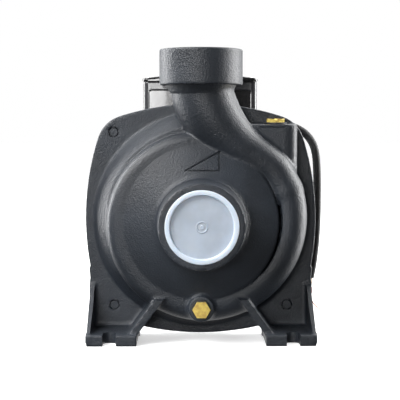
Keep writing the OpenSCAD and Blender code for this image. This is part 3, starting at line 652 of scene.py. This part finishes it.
def enclosure_field(x, y, z):
    """Terminal box: open tray with round corners, lid bosses and a framed front panel."""
    low, high = enclosure_field.box
    mid = (low[1] + high[1]) / 2
    v = y - mid
    half = (high[1] - low[1]) / 2
    body = common(rounded(x, v, BOX_HALF, half, 6), span(z, low[2], high[2]), 1.2)
    inside = np.maximum(rounded(x, v, BOX_HALF - 3, half - 3, 4), low[2] + 3 - z)
    corner = np.hypot(abs(x) - LID_SCREW_X, abs(v) - half + 8)
    inside = np.maximum(inside, 5.5 - corner)
    screws = np.maximum(corner - 2.05, high[2] - 16 - z)
    base = np.maximum(
        np.hypot(abs(x) - 28, abs(v) - 40) - 2.3, span(z, low[2] - 1, low[2] + 4)
    )
    wire = np.maximum(np.hypot(x, y - 194) - 6, span(z, low[2] - 1, low[2] + 4))
    gland = np.maximum(np.hypot(y - GLAND_Y, z - GLAND_Z) - 7.65, span(x, 50, 57))
    z_mid = (low[2] + high[2]) / 2
    z_half = (high[2] - low[2]) / 2 - 8
    panel = np.maximum(rounded(x, z - z_mid, 49, z_half, 3), y - low[1] - 0.8)
    for cut in (screws, base, wire, gland):
        inside = np.minimum(inside, cut)
    return less(less(body, panel, 0.9), inside, 0.4)


def lid_field(x, y, z):
    """Crowned lid with a soft edge, counterbored for its screws."""
    low, high = lid_field.box
    mid, half = (low[1] + high[1]) / 2, (high[1] - low[1]) / 2
    v = y - mid
    crown = np.hypot(x, z - high[2] + 448) - 448
    body = common(
        common(rounded(x, v, high[0], half, 7), low[2] - z), np.maximum(crown, z - high[2]), 2.4
    )
    inside = np.maximum(rounded(x, v, 40, half - 16, 2), z - low[2] - 1.5)
    holes = np.hypot(abs(x) - LID_SCREW_X, abs(v) - half + 9)
    inside = np.minimum(inside, holes - 2.3)
    inside = np.minimum(inside, np.maximum(holes - 4.2, low[2] + 2.2 - z))
    return less(body, inside, 0.4)


def priming_plug_field(x, y, z):
    """Hexagon head with a chamfered crown over a threaded shank."""
    low, high = priming_plug_field.box
    u, v = x - PRIMING_X, y - PRIMING_Y
    flat = np.hypot(u, v)
    head_z = high[2] - 3.3
    head = np.maximum(hexagon(u, v, 16), span(z, head_z, high[2]))
    head = np.maximum(head, (flat - 8.1 + (z - high[2]) * 1.4) * 0.58)
    head = np.maximum(head, (flat - 8.5 - (z - head_z) * 1.6) * 0.53)
    turns = helix(u, v, z, PLUG_PITCH)
    shank = np.maximum(flat - 7.9 + 0.7 * abs(turns), span(z, low[2], head_z + 0.5))
    return np.minimum(head, shank)


def drain_plug_field(x, y, z):
    """Hexagon head with a chamfered crown over a threaded shank, along the shaft."""
    low, high = drain_plug_field.box
    v = z - DRAIN_Z
    flat = np.hypot(x, v)
    head_y = low[1] + 3.9
    head = np.maximum(hexagon(v, x, 14), span(y, low[1], head_y))
    head = np.maximum(head, (flat - 7.75 + (low[1] - y) * 1.4) * 0.58)
    turns = helix(x, v, y, PLUG_PITCH)
    shank = np.maximum(flat - 6.2 + 0.7 * abs(turns), span(y, head_y - 0.5, high[1]))
    return np.minimum(head, shank)


def cap_field(x, y, z):
    """Moulded push-in cap: raised rim, recessed face with its gate nub, hollow skirt."""
    r = np.hypot(x, z)
    rim = common(r - CAP_R, span(y, -2, -0.3), 0.8)
    skirt = common(r - 29.7 + np.clip((y - 5) * 0.12, 0, 1), span(y, -0.8, 7.6), 0.5)
    body = blend_in(rim, skirt, 0.4)
    dish = np.maximum(r - 27.2 - np.clip(1 - y, 0, 3) * 0.15, y - 1)
    body = less(body, dish, 1.0)
    body = less(body, np.maximum(r - 27.9, 2.4 - y), 0.3)
    nub = np.maximum(r - 1.6, span(y, 0.3, 1.6))
    ring = np.maximum(abs(r - 4.6) - 0.35, span(y, 0.6, 1.6))
    return blend_in(body, np.minimum(nub, ring), 0.5)


# ---------------------------------------------------------------- meshes


def grid_line(low, high, step, fine=()):
    """Cuts from low to high, step apart, and closer within each (start, end, step) of fine."""
    line = [low]
    while line[-1] < high:
        here = line[-1]
        steps = [s for a, b, s in fine if a <= here < b]
        starts = [a - here for a, b, s in fine if a > here]
        line.append(here + min([*steps, step, *[max(s, 0.2) for s in starts]]))
    return np.array(line)


def slopes(field, p, h=0.05):
    """Direction in which the field grows, at each point."""
    g = np.empty_like(p)
    for axis in range(3):
        shift = np.zeros(3)
        shift[axis] = h
        g[:, axis] = field(*(p + shift).T) - field(*(p - shift).T)
    return g / np.maximum(np.linalg.norm(g, axis=1, keepdims=True), 1e-9)


def field_mesh(name, field, lines):
    """Closed mesh where the field is zero: one corner a cell, on the faces that meet there."""
    values = field(*np.meshgrid(*lines, indexing="ij"))
    inside = values < 0
    shape = np.array(values.shape) - 1
    cell_ids, quads, points, normals = [], [], [], []
    for axis in range(3):
        first = [slice(None)] * 3
        second = [slice(None)] * 3
        first[axis], second[axis] = slice(None, -1), slice(1, None)
        first, second = tuple(first), tuple(second)
        at = np.argwhere(inside[first] != inside[second])
        step = np.eye(3, dtype=int)[axis]
        a = np.stack([lines[i][at[:, i]] for i in range(3)], 1)
        b = np.stack([lines[i][at[:, i] + step[i]] for i in range(3)], 1)
        va, vb = values[tuple(at.T)], values[tuple((at + step).T)]
        starts_inside = va < 0
        for _ in range(3):
            t = np.clip(va / (va - vb), 0.05, 0.95)[:, None]
            p = a + t * (b - a)
            vp = field(*p.T)
            low = (vp < 0) == starts_inside
            a, va = np.where(low[:, None], p, a), np.where(low, vp, va)
            b, vb = np.where(low[:, None], b, p), np.where(low, vb, vp)
        p = a + (va / (va - vb))[:, None] * (b - a)
        others = [i for i in range(3) if i != axis]
        ring = []
        for s, t in ((0, 0), (1, 0), (1, 1), (0, 1)):
            cell = at.copy()
            cell[:, others[0]] -= s
            cell[:, others[1]] -= t
            ring.append(np.ravel_multi_index(tuple(cell.T), tuple(shape)))
        ring = np.stack(ring, 1)
        flip = starts_inside != (axis == 1)
        quads.append(np.where(flip[:, None], ring[:, ::-1], ring))
        cell_ids.append(ring)
        points.append(p)
        normals.append(slopes(field, p))
    ring = np.concatenate(cell_ids)
    p = np.repeat(np.concatenate(points), 4, 0)
    n = np.repeat(np.concatenate(normals), 4, 0)
    cells, where = np.unique(ring.ravel(), return_inverse=True)
    count = np.bincount(where)
    gather = lambda w: np.bincount(where, weights=w, minlength=len(cells))
    centre = np.stack([gather(p[:, i]) for i in range(3)], 1) / count[:, None]
    off = ((p - centre[where]) * n).sum(1)
    left = np.zeros((len(cells), 3, 3))
    for i in range(3):
        for j in range(i, 3):
            left[:, i, j] = left[:, j, i] = gather(n[:, i] * n[:, j])
        left[:, i, i] += 0.03 * count
    right = np.stack([gather(n[:, i] * off) for i in range(3)], 1)
    found = centre + np.linalg.solve(left, right[:, :, None])[:, :, 0]
    index = np.stack(np.unravel_index(cells, tuple(shape)), 1)
    low = np.stack([lines[i][index[:, i]] for i in range(3)], 1)
    high = np.stack([lines[i][index[:, i] + 1] for i in range(3)], 1)
    found = np.clip(found, low, high)
    faces = np.searchsorted(cells, np.concatenate(quads))
    mesh = bpy.data.meshes.new(name)
    mesh.vertices.add(len(found))
    mesh.vertices.foreach_set("co", (found * MM).astype(np.float32).ravel())
    mesh.loops.add(faces.size)
    mesh.loops.foreach_set("vertex_index", faces.astype(np.int32).ravel())
    mesh.polygons.add(len(faces))
    mesh.polygons.foreach_set("loop_start", np.arange(0, faces.size, 4, dtype=np.int32))
    mesh.update(calc_edges=True)
    mesh.validate()
    return mesh


def smooth_with_creases(mesh, degrees):
    mesh.polygons.foreach_set("use_smooth", np.ones(len(mesh.polygons), bool))
    mesh.set_sharp_from_angle(angle=math.radians(degrees))


def show(name, mesh, body, slot, finish=None, replaces=()):
    """Puts a piece in the scene on its body, with its finish."""
    made = bpy.data.objects.new(name, mesh)
    bpy.context.scene.collection.objects.link(made)
    mesh.materials.clear()
    mesh.materials.append(FINISHES[finish or slot])
    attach(made, body)
    if replaces:
        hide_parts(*replaces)
    return made


def body_of(node):
    return frame["nodes"][node]["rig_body"]


def softened(node, width, segments=2, angle=32, finish=None, slot=None):
    """A copy of a CAD solid with its flat faces made whole and its hard edges rounded over."""
    source = frame["nodes"][node]
    mesh = source.data.copy()
    mesh.name = node + "_fine"
    work = bmesh.new()
    work.from_mesh(mesh)
    bmesh.ops.remove_doubles(work, verts=work.verts, dist=2e-6)
    bmesh.ops.dissolve_limit(
        work, angle_limit=math.radians(0.4), verts=work.verts, edges=work.edges
    )
    work.to_mesh(mesh)
    work.free()
    for name in list(mesh.attributes.keys()):
        if name == "custom_normal":
            mesh.attributes.remove(mesh.attributes[name])
    smooth_with_creases(mesh, angle)
    made = show(node + "_fine", mesh, body_of(node), slot or SLOTS[node], finish, [node])
    bevel = made.modifiers.new("edge", "BEVEL")
    bevel.width = width
    bevel.segments = segments
    bevel.limit_method = "ANGLE"
    bevel.angle_limit = math.radians(angle)
    bevel.use_clamp_overlap = True
    bevel.harden_normals = False
    normals = made.modifiers.new("shading", "WEIGHTED_NORMAL")
    normals.keep_sharp = True
    return made


SLOTS = {
    "casing_bolts": "zinc_steel", "casing_oring": "rubber", "motor_bracket": "cast_paint",
    "impeller": "brass", "impeller_washer": "bright_steel", "impeller_nut": "bright_steel",
    "impeller_key": "bright_steel", "seal_seat": "ceramic", "seal_head": "carbon",
    "seal_spring": "bright_steel", "slinger": "rubber", "shaft": "bright_steel",
    "rotor_core": "aluminium", "stator_core": "lamination", "stator_windings": "copper",
    "front_bearing_outer": "bright_steel", "front_bearing_inner": "bright_steel",
    "front_bearing_balls": "bright_steel", "rear_bearing_outer": "bright_steel",
    "rear_bearing_inner": "bright_steel", "rear_bearing_balls": "bright_steel",
    "preload_spring": "bright_steel", "motor_frame": "aluminium", "rear_shield": "aluminium",
    "tie_rods": "zinc_steel", "cooling_fan": "matte_black", "fan_circlip": "bright_steel",
    "fan_cover": "matte_black", "fan_cover_screws": "zinc_steel", "motor_foot": "matte_black",
    "foot_screws": "zinc_steel", "base_screws": "zinc_steel", "terminal_gasket": "rubber",
    "lid_screws": "zinc_steel", "terminal_block": "ceramic", "terminal_studs": "brass",
    "capacitor": "capacitor_shell", "capacitor_clip": "matte_black",
    "gland_body": "matte_black", "gland_locknut": "matte_black", "gland_nut": "matte_black",
    "priming_washer": "copper", "drain_washer": "copper", "rating_plate": "zinc_steel",
    "plate_rivets": "zinc_steel", "earth_screw": "brass",
}
SOFTENED = [
    "casing_bolts", "motor_bracket", "motor_frame", "rear_shield", "tie_rods", "fan_cover",
    "fan_cover_screws", "motor_foot", "foot_screws", "terminal_gasket", "lid_screws",
    "gland_body", "gland_nut", "priming_washer", "drain_washer", "rating_plate", "plate_rivets",
    "earth_screw",
]
FINISHES = {}

# ---------------------------------------------------------------- settings


def colour(name, description, default):
    return bpy.props.FloatVectorProperty(
        name=name, description=description, default=default, subtype="COLOR", size=3, min=0, max=1
    )


class PumpSizes(bpy.types.PropertyGroup):
    casting_cell: bpy.props.FloatProperty(
        name="Casting cell",
        description="Distance between the corners of the casting's mesh",
        default=0.0015,
        unit="LENGTH",
    )
    edge: bpy.props.FloatProperty(
        name="Edge",
        description="Width of the rounding on hard edges",
        default=0.0004,
        unit="LENGTH",
    )
    lead_diameter: bpy.props.FloatProperty(
        name="Lead", description="Diameter of the power lead", default=0.0078, unit="LENGTH"
    )
    core_diameter: bpy.props.FloatProperty(
        name="Core", description="Diameter of one core of the lead", default=0.0024, unit="LENGTH"
    )
    wire_diameter: bpy.props.FloatProperty(
        name="Wire", description="Diameter of one copper wire", default=0.0005, unit="LENGTH"
    )


class PumpColours(bpy.types.PropertyGroup):
    paint: colour("Paint", "Paint of the castings", (0.02, 0.0245, 0.032))
    # Edge colour: worn primer, also used as a painted highlight along the edges.
    worn_and_highlit_edge: colour("Worn edge", "Primer that shows where the paint is thin", (0.1, 0.11, 0.12))
    brass: colour("Brass", "Both screw plugs", (0.95, 0.62, 0.16))
    cap: colour("Cap", "Transport cap in the suction port", (0.68, 0.77, 0.9))
    enclosure: colour("Enclosure", "Terminal box", (0.008, 0.008, 0.009))
    floor: colour("Floor", "Studio floor", (0.92, 0.92, 0.92))


# ---------------------------------------------------------------- operators


class PUMP_OT_stage(bpy.types.Operator):
    """Camera, pale floor and soft studio light"""

    bl_idname = "pump.stage"
    bl_label = "Stage"

    def execute(self, context):
        scene = context.scene
        scene.view_settings.view_transform = "Standard"
        camera = bpy.data.objects.new("camera", bpy.data.cameras.new("camera"))
        camera.data.lens = LENS
        camera.data.clip_start = 0.05
        camera.location = CAMERA_AT
        aim = Vector(CAMERA_AIM) - camera.location
        camera.rotation_euler = aim.to_track_quat("-Z", "Y").to_euler()
        scene.collection.objects.link(camera)
        scene.camera = camera
        self.world(scene)
        self.floor(scene, context)
        for name, place, target, size, power in (
            ("key_softbox", (-0.88, -0.58, 0.94), (0.0, 0.05, 0.03), (0.9, 0.9), 31),
            ("left_card", (-0.34, -1.5, 0.2), (-0.05, 0.1, 0.1), (0.56, 0.24), 8.5),
            ("right_strip", (1.1, 0.4, 0.3), (0.05, 0.05, 0.05), (0.5, 1.5), 36),
            ("left_strip", (-1.1, 0.6, 0.35), (-0.05, 0.05, 0.05), (0.35, 1.4), 26),
            ("overhead", (0.0, 0.3, 1.6), (0.0, 0.1, 0.0), (1.2, 0.9), 12),
            ("back", (0.3, 1.9, 0.9), (0.0, 0.2, 0.0), (1.6, 1.0), 16),
        ):
            data = bpy.data.lights.new(name, "AREA")
            data.shape = "RECTANGLE"
            data.size, data.size_y = size
            data.energy = power
            light = bpy.data.objects.new(name, data)
            light.location = place
            aim = Vector(target) - light.location
            light.rotation_euler = aim.to_track_quat("-Z", "Y").to_euler()
            scene.collection.objects.link(light)
        return {"FINISHED"}

    def world(self, scene):
        """White all round to the eye; the light from behind is stronger than from the front."""
        world = bpy.data.worlds.new("studio")
        world.use_nodes = True
        scene.world = world
        nodes, links = world.node_tree.nodes, world.node_tree.links
        background = next(n for n in nodes if n.type == "BACKGROUND")
        place = nodes.new("ShaderNodeTexCoord")
        parts = nodes.new("ShaderNodeSeparateXYZ")
        links.new(place.outputs["Generated"], parts.inputs[0])
        depth = nodes.new("ShaderNodeMapRange")
        depth.inputs["From Min"].default_value = -0.2
        depth.inputs["From Max"].default_value = 0.6
        depth.inputs["To Min"].default_value = 0.12
        depth.inputs["To Max"].default_value = 1.0
        links.new(parts.outputs["Y"], depth.inputs["Value"])
        path = nodes.new("ShaderNodeLightPath")
        seen = nodes.new("ShaderNodeMath")
        seen.operation = "MAXIMUM"
        links.new(path.outputs["Is Camera Ray"], seen.inputs[0])
        links.new(depth.outputs["Result"], seen.inputs[1])
        links.new(seen.outputs[0], background.inputs["Strength"])
        background.inputs["Color"].default_value = (1, 1, 1, 1)

    def floor(self, scene, context):
        mesh = bpy.data.meshes.new("floor")
        work = bmesh.new()
        bmesh.ops.create_circle(work, cap_ends=True, segments=96, radius=9)
        bmesh.ops.translate(work, verts=work.verts, vec=(0, 0, -AXIS_H * MM))
        work.to_mesh(mesh)
        work.free()
        f = Finish("floor", tuple(context.scene.pump_colours.floor), 0.6)
        f.set("Roughness", 0.55 + 0.1 * f.noise(30, 2))
        f.set("Emission Color", (1, 1, 1, 1))
        f.set("Emission Strength", 0.55)
        mesh.materials.append(f.material)
        floor = bpy.data.objects.new("floor", mesh)
        scene.collection.objects.link(floor)
        floor.visible_diffuse = False
        floor.visible_glossy = False


def curve_piece(name, points, diameter, finish, body="pump", replaces=()):
    """A round cord of one spline through the points, given in mm."""
    data = bpy.data.curves.new(name, "CURVE")
    data.dimensions = "3D"
    data.bevel_depth = diameter / 2
    data.bevel_resolution = 5
    data.use_fill_caps = True
    spline = data.splines.new("POLY")
    spline.points.add(len(points) - 1)
    for point, place in zip(spline.points, points):
        point.co = (*[c * MM for c in place], 1)
    spline.use_smooth = True
    data.materials.append(FINISHES[finish])
    made = bpy.data.objects.new(name, data)
    bpy.context.scene.collection.objects.link(made)
    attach(made, body)
    if replaces:
        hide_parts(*replaces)
    return made


class PUMP_OT_lead(bpy.types.Operator):
    """Power lead: sheath, bared cores, crimp and loose copper wires"""

    bl_idname = "pump.lead"
    bl_label = "Power lead"

    def execute(self, context):
        sizes = context.scene.pump_sizes
        path = smooth_path(LEAD, 6)
        lead = curve_piece(
            "lead_sheath",
            path,
            sizes.lead_diameter,
            "lead_sheath",
            replaces=["power_lead"],
        )
        pieces = []
        end = LEAD[-1]
        for name, finish, shift, reach in (
            ("core_brown", "core_insulation", (0.0, -1.6), 9.0),
            ("core_pale", "pale_core", (1.0, 1.2), 6.0),
            ("core_earth", "earth_core", (-1.3, 0.9), 5.0),
        ):
            x, y = end[0] + shift[0], end[1] + shift[1]
            lean = shift[0] * 0.12
            route = [
                (x + lean * t * t * reach * 0.3, y, end[2] + 0.4 - t * (reach + 0.4))
                for t in np.linspace(0, 1, 7)
            ]
            if name == "core_brown":
                route[-1] = (end[0], end[1] - 0.8, end[2] - 9.3)
            pieces.append(
                curve_piece(name, route, sizes.core_diameter, finish)
            )
        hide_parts("lead_cores")
        pieces.append(self.crimp(end))
        pieces += self.wires(sizes)
        return {"FINISHED"}

    def crimp(self, end):
        """Sleeve with rolled ends and two pressed dents."""
        work = bmesh.new()
        rings = []
        top, tall, sides = end[2] - 9.5, 6.0, 24
        for t in np.linspace(0, 1, 19):
            r = 2.55 - 0.5 * (abs(t - 0.5) > 0.47) - 0.1 * (abs(t - 0.5) > 0.42)
            ring = []
            for k in range(sides):
                a = 2 * math.pi * k / sides
                dent = 0.35 * math.exp(-(((t - 0.35) / 0.07) ** 2))
                dent += 0.35 * math.exp(-(((t - 0.68) / 0.07) ** 2))
                here = r - dent * (0.5 + 0.5 * math.cos(2 * a))
                ring.append(
                    work.verts.new(
                        (
                            (end[0] + here * math.cos(a)) * MM,
                            (end[1] - 0.8 + here * math.sin(a)) * MM,
                            (top - t * tall) * MM,
                        )
                    )
                )
            rings.append(ring)
        for a, b in zip(rings, rings[1:]):
            for k in range(sides):
                j = (k + 1) % sides
                work.faces.new((a[k], b[k], b[j], a[j]))
        work.faces.new(rings[0])
        work.faces.new(rings[-1][::-1])
        bmesh.ops.recalc_face_normals(work, faces=work.faces)
        mesh = bpy.data.meshes.new("crimp_sleeve")
        work.to_mesh(mesh)
        work.free()
        smooth_with_creases(mesh, 40)
        return show("crimp_sleeve", mesh, "pump", "crimp", replaces=["lead_crimp"])

    def wires(self, sizes):
        """Fine wires that spread from the crimp, inside the CAD strand's outline."""
        made = []
        path = smooth_path(STRANDS, 5)
        for k in range(5):
            phase = 2 * math.pi * k / 5
            route = []
            for i, point in enumerate(path):
                t = i / (len(path) - 1)
                turn = phase + 5 * t
                r = 0.45 * (1 - 0.3 * t)
                route.append(
                    (
                        point[0] + r * math.cos(turn) - 0.05 * k * t,
                        point[1] + r * math.sin(turn),
                        point[2] + 0.2 * k * t * t,
                    )
                )
            keep = len(route) - 2 * (k % 3)
            made.append(
                curve_piece(
                    "wire_%d" % (k + 1), route[:keep], sizes.wire_diameter, "copper"
                )
            )
        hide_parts("lead_strands")
        return made


class PUMP_OT_casing(bpy.types.Operator):
    """Pump casing as one casting with fillets, threads and engraved direction mark"""

    bl_idname = "pump.casing"
    bl_label = "Casing"

    def execute(self, context):
        cell = context.scene.pump_sizes.casting_cell / MM
        lines = (
            grid_line(-109, 109, cell, [(-17, 18.5, cell * 0.36)]),
            grid_line(-1.6, 99, cell, [(31, 45, cell * 0.5)]),
            grid_line(-112, 157.5, cell, [(45, 65, cell * 0.36), (133, 156, cell * 0.5)]),
        )
        mesh = field_mesh("casing_casting", casting_field, lines)
        smooth_with_creases(mesh, 48)
        show("casing_casting", mesh, "pump", "cast_paint", replaces=["pump_casing"])
        return {"FINISHED"}


class PUMP_OT_terminal_box(bpy.types.Operator):
    """Terminal box with its framed panel, and the crowned lid"""

    bl_idname = "pump.terminal_box"
    bl_label = "Terminal box"

    def execute(self, context):
        for node, field, name, slot in (
            ("terminal_base", enclosure_field, "terminal_tray", "black_plastic"),
            ("terminal_lid", lid_field, "terminal_cover", "black_plastic"),
        ):
            low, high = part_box(node)
            field.box = ([c / MM for c in low], [c / MM for c in high])
            lines = []
            for axis in range(3):
                a, b = field.box[0][axis], field.box[1][axis]
                fine = [(a - 1, a + 9, 0.6), (b - 9, b + 1, 0.6)]
                lines.append(grid_line(a - 1, b + 1, 2.4 if axis < 2 else 1.2, fine))
            mesh = field_mesh(name, field, lines)
            smooth_with_creases(mesh, 40)
            made = show(name, mesh, body_of(node), slot, replaces=[node])
            if node == "terminal_base":
                self.paint_frame(made, field.box)
        return {"FINISHED"}

    def paint_frame(self, made, box):
        """The tray is satin; only the sunken front panel is high gloss."""
        mesh = made.data
        mesh.materials.append(FINISHES["box_frame"])
        centres = np.empty(len(mesh.polygons) * 3, np.float32)
        mesh.polygons.foreach_get("center", centres)
        centres = centres.reshape(-1, 3) / MM
        front = (centres[:, 1] > box[0][1] + 0.6) & (centres[:, 1] < box[0][1] + 1.6)
        across = (abs(centres[:, 0]) < 49.5) & (abs(centres[:, 2] - 100.25) < 20.8)
        mesh.polygons.foreach_set(
            "material_index", np.where(front & across, 0, 1).astype(np.int32)
        )


class PUMP_OT_plugs(bpy.types.Operator):
    """Brass priming and drain plugs with chamfered heads and threads"""

    bl_idname = "pump.plugs"
    bl_label = "Screw plugs"

    def execute(self, context):
        for node, field in (
            ("priming_plug", priming_plug_field),
            ("drain_plug", drain_plug_field),
        ):
            low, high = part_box(node)
            field.box = ([c / MM for c in low], [c / MM for c in high])
            lines = [grid_line(a - 0.7, b + 0.7, 0.35) for a, b in zip(*field.box)]
            mesh = field_mesh(node + "_turned", field, lines)
            smooth_with_creases(mesh, 30)
            show(node + "_turned", mesh, body_of(node), "brass", replaces=[node])
        return {"FINISHED"}


class PUMP_OT_cap(bpy.types.Operator):
    """Moulded transport cap in the suction port"""

    bl_idname = "pump.cap"
    bl_label = "Suction cap"

    def execute(self, context):
        flat = grid_line(-33, 33, 0.9, [(-33, -26, 0.5), (26, 33, 0.5), (-6, 6, 0.4)])
        lines = (flat, grid_line(-2.8, 8.6, 0.4), flat)
        mesh = field_mesh("cap_moulding", cap_field, lines)
        smooth_with_creases(mesh, 40)
        show("cap_moulding", mesh, "suction_cap", "cap_plastic", replaces=["suction_cap"])
        return {"FINISHED"}


class PUMP_OT_hardware(bpy.types.Operator):
    """Motor, foot, gland, screws and washers with rounded edges"""

    bl_idname = "pump.hardware"
    bl_label = "Motor and hardware"

    def execute(self, context):
        width = context.scene.pump_sizes.edge
        looks = {"casing_bolts": "cast_paint", "drain_washer": "rubber", "priming_washer": "rubber"}
        for node in SOFTENED:
            softened(node, width, finish=looks.get(node), slot=looks.get(node))
        return {"FINISHED"}


class PUMP_OT_inner_parts(bpy.types.Operator):
    """Finishes for the pieces that stay as the frame has them"""

    bl_idname = "pump.inner_parts"
    bl_label = "Inner parts"

    def execute(self, context):
        for node, piece in frame["nodes"].items():
            if piece.hide_render:
                continue
            piece.data.materials.clear()
            piece.data.materials.append(FINISHES[SLOTS[node]])
        return {"FINISHED"}


OPERATORS = [
    PUMP_OT_stage,
    PUMP_OT_lead,
    PUMP_OT_casing,
    PUMP_OT_terminal_box,
    PUMP_OT_plugs,
    PUMP_OT_cap,
    PUMP_OT_hardware,
    PUMP_OT_inner_parts,
]


class PUMP_PT_panel(bpy.types.Panel):
    """Sizes, colours and build steps of the pump"""

    bl_idname = "PUMP_PT_panel"
    bl_label = "Centrifugal pump"
    bl_space_type = "VIEW_3D"
    bl_region_type = "UI"
    bl_category = "Pump"

    def draw(self, context):
        for group in (context.scene.pump_sizes, context.scene.pump_colours):
            for name in group.__annotations__:
                self.layout.prop(group, name)
        for operator in OPERATORS:
            self.layout.operator(operator.bl_idname)


CLASSES = [PumpSizes, PumpColours, *OPERATORS, PUMP_PT_panel]


def register():
    for cls in CLASSES:
        bpy.utils.register_class(cls)
    bpy.types.Scene.pump_sizes = bpy.props.PointerProperty(type=PumpSizes)
    bpy.types.Scene.pump_colours = bpy.props.PointerProperty(type=PumpColours)


def unregister():
    del bpy.types.Scene.pump_sizes
    del bpy.types.Scene.pump_colours
    for cls in reversed(CLASSES):
        bpy.utils.unregister_class(cls)


def main():
    register()
    FINISHES.update(make_finishes(bpy.context.scene.pump_colours))
    for operator in OPERATORS:
        group, step = operator.bl_idname.split(".")
        getattr(getattr(bpy.ops, group), step)()


if __name__ == "__main__":
    main()
